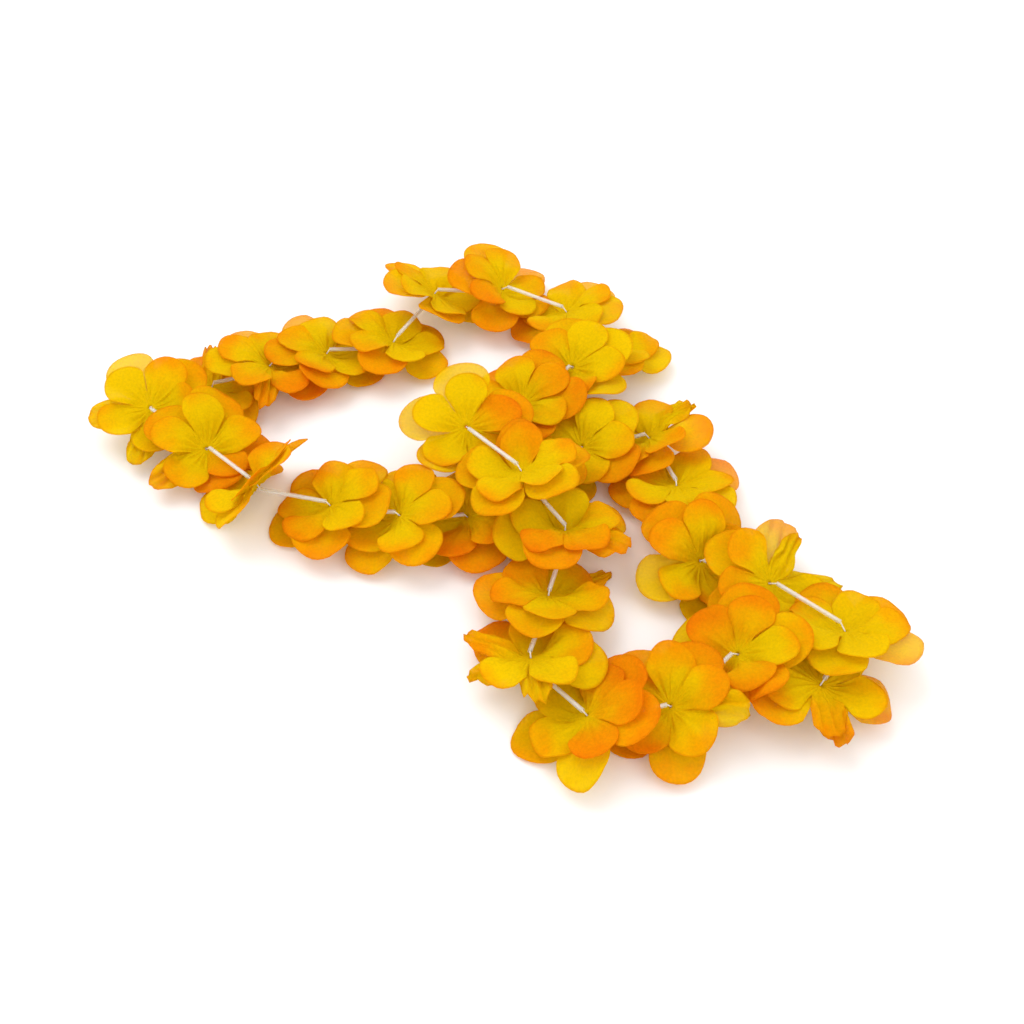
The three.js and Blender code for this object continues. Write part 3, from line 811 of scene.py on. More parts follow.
@dataclass(frozen=True)
class PetalCut:
    """How the outline of one worn petal departs from the die.

    Widen and lengthen are factors, skew and wave are fractions, and phase is an angle in
    radians that shifts the waves along the rim. A pair of numbers is a middle value and
    how far it may vary.
    """

    widen: float
    lengthen: float
    skew: float
    wave: float
    phase: float

    WIDEN: ClassVar[Tuple[float, float]] = (1.08, 0.05)
    LENGTHEN: ClassVar[Tuple[float, float]] = (1.02, 0.03)
    SKEW: ClassVar[float] = 0.035
    WAVE: ClassVar[Tuple[float, float]] = (0.022, 0.012)

    @classmethod
    def of(cls, pair: int, key: int) -> "PetalCut":
        """The cut of a petal from its pair and its number in the pair."""
        return cls(
            widen=cls.WIDEN[0] + cls.WIDEN[1] * vary(pair, key, 31),
            lengthen=cls.LENGTHEN[0] + cls.LENGTHEN[1] * vary(pair, key, 32),
            skew=cls.SKEW * vary(pair, key, 33),
            wave=cls.WAVE[0] + cls.WAVE[1] * vary(pair, key, 34),
            phase=math.pi * vary(pair, key, 35),
        )


@dataclass
class PetalGrid:
    """The fine grid of one petal: rows from the hole to the rim, columns across.

    The tip and side shares divide half an outline between its round tip and its side. The
    slow and fast waves are radians over half an outline.
    """

    sizes: BlossomSizes
    cut: PetalCut
    columns: int = 26
    fan_rows: int = 4
    lobe_rows: int = 12
    slit: float = 0.012
    slit_ramp: float = 8.0
    tip_share: float = 0.55
    side_share: float = 0.45
    side_roundness: float = 2.2
    slow_waves: float = 5.1
    fast_waves: float = 9.7

    def rim(self, across: Array) -> Array:
        """Points of the smooth outline.

        Args:
            across: -1 at one notch, 0 at the tip, 1 at the other notch.

        Returns:
            Flat rows, as fractions of the reach.
        """
        z = self.sizes
        notch = (
            z.notch_at * math.cos(math.pi / z.petals),
            z.notch_at * math.sin(math.pi / z.petals),
        )
        size = np.abs(across)
        arc = size < self.tip_share
        round_angle = size / self.tip_share * (math.pi / 2)
        s = np.where(
            arc,
            z.lobe_centre + z.lobe_radius * np.cos(round_angle),
            z.lobe_centre
            + (notch[0] - z.lobe_centre) * (size - self.tip_share) / self.side_share,
        )
        along = np.clip((z.lobe_centre - s) / (z.lobe_centre - notch[0]), 0, 1)
        bulge = np.sqrt(1 - along**self.side_roundness)
        side = notch[1] + (z.lobe_radius - notch[1]) * bulge
        open_share = np.clip(np.minimum(along, 1 - along) * self.slit_ramp, 0, 1)
        room = s * math.tan(math.pi / z.petals) - self.slit * open_share
        t = np.where(arc, z.lobe_radius * np.sin(round_angle), side)
        free = 1 - size**4
        waves = np.sin(across * self.slow_waves + self.cut.phase) + 0.6 * np.sin(
            across * self.fast_waves - 2 * self.cut.phase
        )
        swell = self.cut.wave * waves * free
        ahead = np.maximum(s - z.lobe_centre, 0)
        s = s + ahead * ((self.cut.lengthen - 1) * 2 + swell)
        t = np.sign(across) * t * (1 + (self.cut.widen - 1) * free + swell)
        t = t + self.cut.skew * ahead / z.lobe_radius
        widest = np.where(arc, 1.0, room)
        return np.stack([s, np.clip(t, -widest, widest)], axis=1)

    def flat_points(self, hole: float) -> Tuple[Array, Array, Array]:
        """Flat grid points of a petal.

        Args:
            hole: Radius of the thread hole as a fraction of the reach.

        Returns:
            Flat positions, the blend from the stiff middle, and [across, along] for
            each point, row by row from the hole.
        """
        z = self.sizes
        across = np.linspace(-1, 1, self.columns + 1)
        half = math.pi / z.petals
        flats, blends, params = [], [], []
        rim = self.rim(across)
        for row in range(self.fan_rows + self.lobe_rows + 1):
            if row <= self.fan_rows:
                share = row / self.fan_rows
                radius = hole + (z.notch_at - hole) * share
                flat = radius * np.stack(
                    [np.cos(half * across), np.sin(half * across)], axis=1
                )
                ratio = (radius - hole) / (z.notch_at - hole)
                power = 2 / max(1 - ratio, 1e-3)
                blend = (1 - np.abs(across) ** power) * smooth_step(ratio)
            else:
                share = (row - self.fan_rows) / self.lobe_rows
                inner = z.notch_at * np.stack(
                    [np.cos(half * across), np.sin(half * across)], axis=1
                )
                flat = inner * (1 - share) + rim * share
            if row >= self.fan_rows:
                blend = (np.abs(across) < 1).astype(float)
            flats.append(flat)
            blends.append(blend)
            lobe = max(row - self.fan_rows, 0) / self.lobe_rows
            params.append(np.stack([across, np.full_like(across, lobe)], axis=1))
        return np.vstack(flats), np.concatenate(blends), np.vstack(params)

    def cut_area(self, hole: float) -> float:
        """Area of the petal as it was cut, before it was bent.

        Args:
            hole: Radius of the thread hole as a fraction of the reach.

        Returns:
            The flat area over the reach squared.
        """
        return grid_area(self.flat_points(hole)[0], self.columns)


@dataclass(frozen=True)
class ClothWear:
    """How the cloth leaves a smooth surface.

    Crease, flutter, ripple, curl and side lift are heights in millimetres. The creases
    fade in from their start over their ramp and are strongest at their middle, all in
    millimetres from the hole. Folds and fine folds are waves in one turn round the hole,
    ripple along and across are radians over the reach, and pleats counts the slopes of the
    zigzag across half a petal. The drawn and curl places are fractions of the reach.
    """

    crease: float = 0.3
    crease_start: float = 1.5
    crease_ramp: float = 5.0
    crease_middle: float = 8.0
    crease_spread: float = 9.0
    folds: float = 9.0
    fine_folds: float = 31.0
    flutter: float = 0.75
    ripple: float = 0.2
    ripple_along: float = 21.0
    ripple_across: float = 19.0
    curl: float = 2.4
    curl_from: float = 0.6
    curl_length: float = 0.36
    side_lift: float = 1.0
    least_bend: float = -0.2
    pleats: float = 3.0
    drawn_start: float = 0.25
    drawn_ramp: float = 0.3
    plate_slack: float = 0.0006
    floor_gap: float = 0.02


@dataclass
class SheetHeap:
    """The fine sheets laid so far, above which every later sheet is lifted.

    The gap and the deepest dip that is lifted are in millimetres. A lift spreads to its
    neighbours round by round. Nearer to the hole than the stiff share of the reach nothing
    is lifted, and beyond the soft share the whole lift counts.
    """

    gap: float = 0.6
    deepest: float = 5.0
    spread_rounds: int = 6
    spread_share: float = 0.85
    stiff: float = 0.08
    soft: float = 0.22
    sheets: List[Tuple[BVHTree, Vector, Vector]] = field(default_factory=list)

    def _top(self, at: Vector) -> float:
        """Height of the heap at a place, minus infinity beside it."""
        top = -math.inf
        start = Vector((at.x, at.y, 1.0))
        for tree, low, high in self.sheets:
            if low.x < at.x < high.x and low.y < at.y < high.y:
                hit = tree.ray_cast(start, Vector((0.0, 0.0, -1.0)))[0]
                if hit is not None:
                    top = max(top, hit.z)
        return top

    def lay(self, cloth: bmesh.types.BMesh, along: bmesh.types.BMLayerItem) -> None:
        """Lifts a sheet where it dips into the heap and adds it to the heap.

        Args:
            cloth: The sheet, changed in place.
            along: Its layer with the distance from the hole over the reach.
        """
        lift = {}
        for vert in cloth.verts:
            lack = self._top(vert.co) + self.gap * MM - vert.co.z
            lift[vert] = lack if 0 < lack < self.deepest * MM else 0.0
        for _ in range(self.spread_rounds):
            around = {}
            for vert in cloth.verts:
                near = [lift[edge.other_vert(vert)] for edge in vert.link_edges]
                around[vert] = self.spread_share * sum(near) / max(len(near), 1)
            lift = {vert: max(lift[vert], around[vert]) for vert in lift}
        for vert in cloth.verts:
            share = (vert[along] - self.stiff) / (self.soft - self.stiff)
            vert.co.z += lift[vert] * smooth_step(share)
        low = Vector([min(vert.co[k] for vert in cloth.verts) for k in range(3)])
        high = Vector([max(vert.co[k] for vert in cloth.verts) for k in range(3)])
        self.sheets.append((BVHTree.FromBMesh(cloth), low, high))


@dataclass
class BlossomPair:
    """Two cloth blossoms on one thread hole.

    Points nearer than the weld, in millimetres, become one. The fit rounds and power steer
    how a petal is drawn in to the cloth it was cut from.
    """

    index: int
    garland: Garland
    material: bpy.types.Material
    heap: SheetHeap = field(default_factory=SheetHeap)
    wear: ClothWear = field(default_factory=ClothWear)
    weld: float = 0.01
    least_edge: float = 0.005
    dye_spread: float = 0.09
    flat_ratio: float = 0.97
    fit_rounds: int = 5
    fit_power: float = -0.6

    NAMES: ClassVar[Tuple[str, str]] = ("lower", "upper")

    def _fitted_points(
        self, layer: int, petal: int, grid: PetalGrid
    ) -> Tuple[Array, Array, Array]:
        """Petal points drawn in until they use no more cloth than was cut.

        Args:
            layer: 0 for the larger blossom, 1 for the smaller.
            petal: Index of the petal.
            grid: The fine grid.

        Returns:
            Positions in millimetres, flat positions and [across, along] rows.
        """
        reach = self.garland.sizes.reach(layer)
        cut = grid.cut_area(self.garland.sizes.hole_radius / reach) * reach**2
        drawn_in = 0.0
        for _ in range(self.fit_rounds):
            place = self._petal_points(layer, petal, grid, drawn_in)[0]
            excess = grid_area(place, grid.columns) / cut
            drawn_in = min((1 + drawn_in) * excess**self.fit_power - 1, 0.0)
        return self._petal_points(layer, petal, grid, drawn_in)

    def _petal_points(
        self, layer: int, petal: int, grid: PetalGrid, drawn_in: float = 0.0
    ) -> Tuple[Array, Array, Array]:
        """Space positions of a petal's fine grid.

        Args:
            layer: 0 for the larger blossom, 1 for the smaller.
            petal: Index of the petal.
            grid: The fine grid.
            drawn_in: Share by which the petal reaches further along its surface, below
                zero where it reaches less far.

        Returns:
            Positions in millimetres, flat positions and [across, along] rows.
        """
        z = self.garland.sizes
        laid = self.garland.laid[self.index][layer]
        hub = self.garland.hubs[self.index]
        reach = z.reach(layer)
        angle = laid.turn + 2 * math.pi * petal / z.petals
        flat, blend, params = grid.flat_points(z.hole_radius / reach)
        habit = HABITS.get((self.index + 1, layer, petal), PetalHabit())
        held_share = np.clip(
            (flat[:, 0] - self.wear.drawn_start) / self.wear.drawn_ramp, 0, 1
        )
        narrow = 1 - habit.gather * held_share
        drawn = flat * np.stack([1 + habit.pull * held_share, narrow], axis=1)
        drawn *= (1 + drawn_in * held_share)[:, None]
        form, guides = laid.forms[petal], laid.guides[petal]
        half = math.pi / z.petals
        sites = dict(self.garland.guide_outline())
        for name, radius, side in (
            ("root_a", z.pressed_radius / reach, -1),
            ("root_b", z.pressed_radius / reach, 1),
            ("notch_a", z.notch_at, -1),
            ("notch_b", z.notch_at, 1),
        ):
            sites[name] = (radius * math.cos(half), side * radius * math.sin(half))
        names = list(sites)
        spots = np.array([sites[name] for name in names])
        held = np.stack([guides[name] for name in names])
        offsets = held - form.place(hub, laid.origin, angle, reach, spots)
        plate = ThinPlate(spots, offsets, slack=self.wear.plate_slack)
        bent = form.place(hub, laid.origin, angle, reach, drawn) + plate.at(drawn)
        climb, normal = hub.plane(hub.tilt)
        ahead = hub.axis * math.cos(angle) + climb * math.sin(angle)
        beside = -hub.axis * math.sin(angle) + climb * math.cos(angle)
        level = laid.origin + np.outer(drawn[:, 0] * reach, ahead)
        level += np.outer(drawn[:, 1] * reach, beside)
        place = level + (bent - level) * blend[:, None]
        key = layer * z.petals + petal
        place += np.outer(self._wear(flat, params, key, reach, angle), normal)
        pleat_width = z.lobe_radius / self.wear.pleats
        pleat = np.abs(np.mod(flat[:, 1] / pleat_width, 2) - 1)
        depth = pleat_width * reach * np.sqrt(1 - narrow**2)
        place += np.outer(pleat * depth, normal)
        floor = z.woven_cloth / 2 + self.wear.floor_gap
        place[:, 2] = np.maximum(place[:, 2], floor)
        return place, flat, params

    def _wear(
        self, flat: Array, params: Array, key: int, reach: float, angle: float
    ) -> Array:
        """Creases from the hub, a fluttering rim and a curled tip.

        Args:
            flat: Flat positions of the grid.
            params: [across, along] of the grid.
            key: Number of the petal in the pair.
            reach: Hole to petal tip, in millimetres.
            angle: Direction of the petal in the tilted plane, in radians.

        Returns:
            The rise of every grid point, in millimetres.
        """
        wear = self.wear
        across, along = params[:, 0], params[:, 1]
        distance = np.hypot(flat[:, 0], flat[:, 1]) * reach
        bearing = np.arctan2(flat[:, 1], np.maximum(flat[:, 0], 1e-6)) + angle
        phase = [math.pi * vary(self.index, key, n) for n in range(11, 17)]
        off_notch = 1 - across**8
        pinch = math.pi * vary(self.index, 0, 10)
        fade = np.clip((distance - wear.crease_start) / wear.crease_ramp, 0, 1)
        fade = fade * np.exp(-(((distance - wear.crease_middle) / wear.crease_spread) ** 2))
        crease = 1 - 2 * np.abs(np.sin(bearing * wear.folds + pinch))
        crease = crease + 0.5 * np.sin(bearing * wear.fine_folds + 2 * pinch)
        offset = wear.crease * crease * fade
        flutter = np.sin(across * (2.4 + 0.8 * vary(self.index, key, 17)) * math.pi + phase[2])
        offset = offset + wear.flutter * flutter * along**2.5 * (1 - across**4)
        ripple = np.sin(
            flat[:, 0] * wear.ripple_along + phase[3] + 3 * flat[:, 1]
        ) * np.cos(flat[:, 1] * wear.ripple_across + phase[4])
        offset = offset + wear.ripple * ripple * along * off_notch
        tip = np.clip((flat[:, 0] - wear.curl_from) / wear.curl_length, 0, 1) ** 2
        offset = offset + wear.curl * max(vary(self.index, key, 18), wear.least_bend) * tip
        lift = wear.side_lift * max(vary(self.index, key, 19), wear.least_bend)
        side = np.clip(across * np.sign(vary(self.index, key, 20)), 0, 1)
        offset = offset + lift * side**2 * along * off_notch
        return offset

    def build(self) -> List[bpy.types.Object]:
        """Returns:
            The two pieces.
        """
        made = []
        node = f"bloom_{self.index + 1:02d}"
        for layer in (0, 1):
            piece = self._blossom(layer, f"{node}_{self.NAMES[layer]}")
            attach(piece, "root")
            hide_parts(node)
            made.append(piece)
        return made

    def _blossom(self, layer: int, name: str) -> bpy.types.Object:
        """Makes one blossom.

        Args:
            layer: 0 for the larger blossom, 1 for the smaller.
            name: Name of the piece.

        Returns:
            The cloth piece.
        """
        z = self.garland.sizes
        dyes = PAIRS[self.index].dyes[layer]
        cloth = bmesh.new()
        uv_layer = cloth.loops.layers.uv.new("petal")
        dye_layer = cloth.verts.layers.float.new("dye")
        along_layer = cloth.verts.layers.float.new("along")
        edge_layer = cloth.verts.layers.float.new("edge")
        sheer_layer = cloth.verts.layers.float.new("sheer")
        cut_area = 0.0
        for petal in range(z.petals):
            grid = PetalGrid(z, PetalCut.of(self.index, layer * z.petals + petal))
            cut_area += grid.cut_area(z.hole_radius / z.reach(layer))
            rows = grid.fan_rows + grid.lobe_rows
            place, flat, params = self._fitted_points(layer, petal, grid)
            made = bmesh.ops.create_grid(
                cloth, x_segments=grid.columns, y_segments=rows, size=1.0
            )
            place = (place - CENTRE) * MM
            shade = DYE_LETTERS[dyes[petal].lower()].value
            sheer = 1.0 if dyes[petal].isupper() else 0.0
            shade += self.dye_spread * vary(self.index, layer * z.petals + petal, 21)
            spots: Dict[bmesh.types.BMVert, int] = {}
            for vert in made["verts"]:
                column = round((vert.co.x + 1) / 2 * grid.columns)
                row = round((vert.co.y + 1) / 2 * rows)
                number = row * (grid.columns + 1) + column
                spots[vert] = number
                vert.co = Vector(place[number])
                vert[dye_layer] = shade
                vert[along_layer] = float(np.hypot(*flat[number]))
                vert[edge_layer] = float(params[number][1])
                vert[sheer_layer] = sheer
            # each petal takes its own part of the dye's cloud pattern
            shift = 1.3 * petal + 7.0 * layer + 0.37 * self.index
            for face in {face for vert in spots for face in vert.link_faces}:
                for loop in face.loops:
                    number = spots[loop.vert]
                    loop[uv_layer].uv = (
                        float(flat[number][0]) * z.reach(layer) / z.large_reach + shift,
                        float(flat[number][1]) * z.reach(layer) / z.large_reach,
                    )
            bmesh.ops.remove_doubles(cloth, verts=list(spots), dist=self.weld * MM)
        middle = [v for v in cloth.verts if v[along_layer] < z.notch_at + 1e-4]
        bmesh.ops.remove_doubles(cloth, verts=middle, dist=self.weld * MM)
        bmesh.ops.dissolve_degenerate(
            cloth, dist=self.least_edge * MM, edges=cloth.edges[:]
        )
        self.heap.lay(cloth, along_layer)
        piece = settled(name, cloth, self.material)
        thickness = piece.modifiers.new("weave thickness", "SOLIDIFY")
        thickness.thickness = z.woven_cloth * MM
        thickness.offset = 0.0
        across = 2 * z.reach(layer) * (z.lobe_centre + z.lobe_radius) * MM
        cut_area * (z.reach(layer) * MM) ** 2
        return piece


def shader_group(
    name: str,
    inputs: Sequence[Tuple[str, str, float]],
    outputs: Sequence[Tuple[str, str]],
) -> bpy.types.ShaderNodeTree:
    """Starts a shader node group with named sockets.

    Args:
        name: Name of the group.
        inputs: Name, socket type and default of each input.
        outputs: Name and socket type of each output.

    Returns:
        The empty group with its input and output nodes.
    """
    group = bpy.data.node_groups.new(name, "ShaderNodeTree")
    for label, kind, default in inputs:
        socket = group.interface.new_socket(label, in_out="INPUT", socket_type=kind)
        if kind == "NodeSocketFloat":
            socket.default_value = default
    for label, kind in outputs:
        group.interface.new_socket(label, in_out="OUTPUT", socket_type=kind)
    group.nodes.new("NodeGroupInput").name = "in"
    group.nodes.new("NodeGroupOutput").name = "out"
    return group


@dataclass
class NodeBench:
    """Adds and joins nodes in one tree."""

    tree: bpy.types.NodeTree

    def add(self, kind: str, **values: object) -> bpy.types.Node:
        """A new node with the given properties."""
        node = self.tree.nodes.new(kind)
        for key, value in values.items():
            setattr(node, key, value)
        return node

    def join(self, source: bpy.types.NodeSocket, target: bpy.types.NodeSocket) -> None:
        """Joins two sockets."""
        self.tree.links.new(source, target)

    def math(self, operation: str, *sources: object) -> bpy.types.NodeSocket:
        """A math node over sockets or numbers."""
        node = self.add("ShaderNodeMath", operation=operation)
        for socket, source in zip(node.inputs, sources):
            if isinstance(source, (int, float)):
                socket.default_value = source
            else:
                self.join(source, socket)
        return node.outputs[0]

    def ramp(
        self, source: bpy.types.NodeSocket, low: float, high: float
    ) -> bpy.types.NodeSocket:
        """A soft ramp of a value from 0 at low to 1 at high."""
        node = self.add("ShaderNodeMapRange", interpolation_type="SMOOTHSTEP")
        self.join(source, node.inputs["Value"])
        node.inputs["From Min"].default_value = low
        node.inputs["From Max"].default_value = high
        return node.outputs["Result"]

    def blend(
        self, factor: object, first: object, second: object, mode: str = "MIX"
    ) -> bpy.types.NodeSocket:
        """A colour mix of sockets or colours."""
        node = self.add("ShaderNodeMix", data_type="RGBA", blend_type=mode)
        for socket, source in (
            (node.inputs[0], factor),
            (node.inputs[6], first),
            (node.inputs[7], second),
        ):
            if isinstance(source, bpy.types.NodeSocket):
                self.join(source, socket)
            else:
                socket.default_value = source
        return node.outputs[2]

    def noise(
        self, place: bpy.types.NodeSocket, scale: float, **settings: float
    ) -> bpy.types.NodeSocket:
        """A cloudy value at a place, with its scale and further settings by name."""
        node = self.add("ShaderNodeTexNoise")
        for key, value in {"Scale": scale, **settings}.items():
            node.inputs[key].default_value = value
        self.join(place, node.inputs["Vector"])
        return node.outputs["Fac"]


def start_material(name: str) -> Tuple[bpy.types.Material, NodeBench]:
    """A material with its ready shader, and the bench over its nodes."""
    material = bpy.data.materials.new(name)
    material.use_nodes = True
    return material, NodeBench(material.node_tree)


def make_weave_group() -> bpy.types.ShaderNodeTree:
    """Plain weave: crossed yarns with a little slub.

    Returns:
        A group with the weave's height and its slub.
    """
    group = shader_group(
        "plain weave",
        [("Position", "NodeSocketVector", 0.0), ("Yarns", "NodeSocketFloat", 120.0)],
        [("Height", "NodeSocketFloat"), ("Slub", "NodeSocketFloat")],
    )
    bench = NodeBench(group)
    source, target = group.nodes["in"], group.nodes["out"]
    split = bench.add("ShaderNodeSeparateXYZ")
    bench.join(source.outputs["Position"], split.inputs[0])
    warp = bench.math(
        "SINE", bench.math("MULTIPLY", split.outputs[0], source.outputs["Yarns"])
    )
    weft = bench.math(
        "SINE", bench.math("MULTIPLY", split.outputs[1], source.outputs["Yarns"])
    )
    bench.join(bench.math("MULTIPLY", warp, weft), target.inputs["Height"])
    slub = bench.noise(source.outputs["Position"], 26.0, Detail=4.0, Roughness=0.62)
    bench.join(slub, target.inputs["Slub"])
    return group


def make_spray_group() -> bpy.types.ShaderNodeTree:
    """Airbrushed spray: orange that grows from the petal's rim inwards.

    Returns:
        A group with the spray's strength over the petal.
    """
    group = shader_group(
        "airbrushed spray",
        [
            ("Position", "NodeSocketVector", 0.0),
            ("Along", "NodeSocketFloat", 0.0),
            ("Dye", "NodeSocketFloat", 0.5),
        ],
        [("Spray", "NodeSocketFloat"), ("Deep", "NodeSocketFloat")],
    )
    bench = NodeBench(group)
    source, target = group.nodes["in"], group.nodes["out"]
    cloud_size, cloud_strength, dye_reach, rim_start = 2.3, 1.1, 0.95, 1.25
    cloud = bench.noise(source.outputs["Position"], cloud_size, Detail=3.0)
    drift = bench.math(
        "MULTIPLY", bench.math("SUBTRACT", cloud, 0.5), cloud_strength
    )
    reach = bench.math("MULTIPLY", source.outputs["Dye"], dye_reach)
    edge = bench.math("SUBTRACT", rim_start, reach)
    field_value = bench.math(
        "ADD", bench.math("SUBTRACT", source.outputs["Along"], edge), drift
    )
    bench.join(bench.ramp(field_value, -0.4, 0.45), target.inputs["Spray"])
    bench.join(bench.ramp(field_value, 0.25, 0.9), target.inputs["Deep"])
    return group


@dataclass(frozen=True)
class ClothFinish:
    """Thin dyed polyester cloth.

    The glow is the share of light that passes through the cloth. Yarns is the angle, in
    radians, that the weave turns through over the larger blossom's reach, and the weave's
    depth is in millimetres.
    """

    name: str
    yellow: Tuple[float, float, float, float]
    orange: Tuple[float, float, float, float]
    deep: Tuple[float, float, float, float]
    opacity: float
    sheer_opacity: float
    glow: float = 0.4
    sealed_rim: float = 0.28
    # painted shade and light of the weave's relief, as a share of the colour
    weave_relief_shade: float = 0.035
    yarns: float = 330.0
    weave_depth: float = 0.2

    def make(
        self, weave: bpy.types.ShaderNodeTree, spray: bpy.types.ShaderNodeTree
    ) -> bpy.types.Material:
        """Makes the material.

        Args:
            weave: The plain weave group.
            spray: The airbrushed spray group.

        Returns:
            The cloth material.
        """
        material, bench = start_material(self.name)
        bench.tree.nodes.clear()
        place = bench.add("ShaderNodeTexCoord").outputs["UV"]
        yarn = bench.add("ShaderNodeGroup", node_tree=weave)
        yarn.inputs["Yarns"].default_value = self.yarns
        bench.join(place, yarn.inputs["Position"])
        along = bench.add("ShaderNodeAttribute", attribute_name="along")
        dye = bench.add("ShaderNodeAttribute", attribute_name="dye")
        brush = bench.add("ShaderNodeGroup", node_tree=spray)
        bench.join(place, brush.inputs["Position"])
        bench.join(along.outputs["Fac"], brush.inputs["Along"])
        bench.join(dye.outputs["Fac"], brush.inputs["Dye"])
        tint = bench.blend(brush.outputs["Spray"], self.yellow, self.orange)
        tint = bench.blend(brush.outputs["Deep"], tint, self.deep)
        edge = bench.add("ShaderNodeAttribute", attribute_name="edge").outputs["Fac"]
        sealed = bench.math("MULTIPLY", bench.ramp(edge, 0.93, 1.0), self.sealed_rim)
        tint = bench.blend(sealed, tint, self.deep)
        slub = bench.math(
            "MULTIPLY_ADD", bench.ramp(yarn.outputs["Slub"], 0.25, 0.75), 0.16, 0.92
        )
        # painted shade and light: the colour darkens in the weave's hollows and lightens on its
        # crests, following the weave height that also drives the bump; the slub before it is the
        # yarn's own tone
        slub = bench.math("MULTIPLY_ADD", yarn.outputs["Height"], self.weave_relief_shade, slub)
        shade = bench.add("ShaderNodeCombineColor")
        for socket in shade.inputs:
            bench.join(slub, socket)
        tint = bench.blend(1.0, tint, shade.outputs[0], "MULTIPLY")
        cloth = bench.add("ShaderNodeBsdfPrincipled")
        cloth.inputs["Roughness"].default_value = 0.85
        cloth.inputs["Specular IOR Level"].default_value = 0.05
        bench.join(tint, cloth.inputs["Base Color"])
        bump = bench.add("ShaderNodeBump")
        bump.inputs["Strength"].default_value = 0.35
        bump.inputs["Distance"].default_value = self.weave_depth * MM
        bench.join(yarn.outputs["Height"], bump.inputs["Height"])
        bench.join(bump.outputs["Normal"], cloth.inputs["Normal"])
        behind = bench.add("ShaderNodeBsdfTranslucent")
        bench.join(tint, behind.inputs["Color"])
        body = bench.add("ShaderNodeMixShader")
        body.inputs[0].default_value = self.glow
        bench.join(cloth.outputs[0], body.inputs[1])
        bench.join(behind.outputs[0], body.inputs[2])
        gaps = bench.add("ShaderNodeBsdfTransparent")
        whole = bench.add("ShaderNodeMixShader")
        sheer = bench.add("ShaderNodeAttribute", attribute_name="sheer").outputs["Fac"]
        open_share = bench.math("MULTIPLY", sheer, self.sheer_opacity - self.opacity)
        bench.join(bench.math("ADD", open_share, self.opacity), whole.inputs[0])
        bench.join(gaps.outputs[0], whole.inputs[1])
        bench.join(body.outputs[0], whole.inputs[2])
        output = bench.add("ShaderNodeOutputMaterial")
        bench.join(whole.outputs[0], output.inputs["Surface"])
        return material


@dataclass(frozen=True)
class PlasticFinish:
    """Milky, thin drinking-straw plastic."""

    name: str = "straw plastic"
    tint: Tuple[float, float, float, float] = (0.97, 0.97, 0.95, 1.0)
    roughness: float = 0.22
    opacity: float = 0.24
    grain: float = 420.0

    def make(self) -> bpy.types.Material:
        """Makes the material."""
        material, bench = start_material(self.name)
        shader = bench.tree.nodes["Principled BSDF"]
        place = bench.add("ShaderNodeTexCoord").outputs["Object"]
        noise = bench.noise(place, self.grain, Detail=3.0)
        cloud = bench.blend(
            bench.ramp(noise, 0.3, 0.7),
            self.tint,
            tuple(0.95 * c for c in self.tint[:3]) + (1.0,),
        )
        bench.join(cloud, shader.inputs["Base Color"])
        bench.join(
            bench.math("MULTIPLY_ADD", noise, 0.15, self.roughness),
            shader.inputs["Roughness"],
        )
        bench.join(
            bench.math("MULTIPLY_ADD", noise, 0.1, self.opacity),
            shader.inputs["Alpha"],
        )
        shader.inputs["IOR"].default_value = 1.45
        return material


@dataclass(frozen=True)
class ThreadFinish:
    """Twisted white sewing thread, with painted shade for the grooves of its twist."""

    name: str = "white thread"
    light: Tuple[float, float, float, float] = (0.88, 0.87, 0.82, 1.0)
    # painted shade: the darker colour stands for the grooves of the twist, laid as a random mottle
    groove_shade: Tuple[float, float, float, float] = (0.62, 0.6, 0.55, 1.0)
    grain: float = 2600.0

    def make(self) -> bpy.types.Material:
        """Makes the material."""
        material, bench = start_material(self.name)
        shader = bench.tree.nodes["Principled BSDF"]
        place = bench.add("ShaderNodeTexCoord").outputs["Object"]
        noise = bench.noise(place, self.grain)
        tint = bench.blend(bench.ramp(noise, 0.35, 0.65), self.groove_shade, self.light)
        bench.join(tint, shader.inputs["Base Color"])
        shader.inputs["Roughness"].default_value = 0.8
        return material


def settled(name: str, part: bmesh.types.BMesh, material: bpy.types.Material) -> bpy.types.Object:
    """Turns a finished bmesh into a smooth piece of the scene.

    Args:
        name: Name of the piece.
        part: The bmesh, freed here.
        material: Its material.

    Returns:
        The piece.
    """
    mesh = bpy.data.meshes.new(name)
    part.to_mesh(mesh)
    part.free()
    mesh.shade_smooth()
    mesh.materials.append(material)
    piece = bpy.data.objects.new(name, mesh)
    bpy.context.scene.collection.objects.link(piece)
    return piece


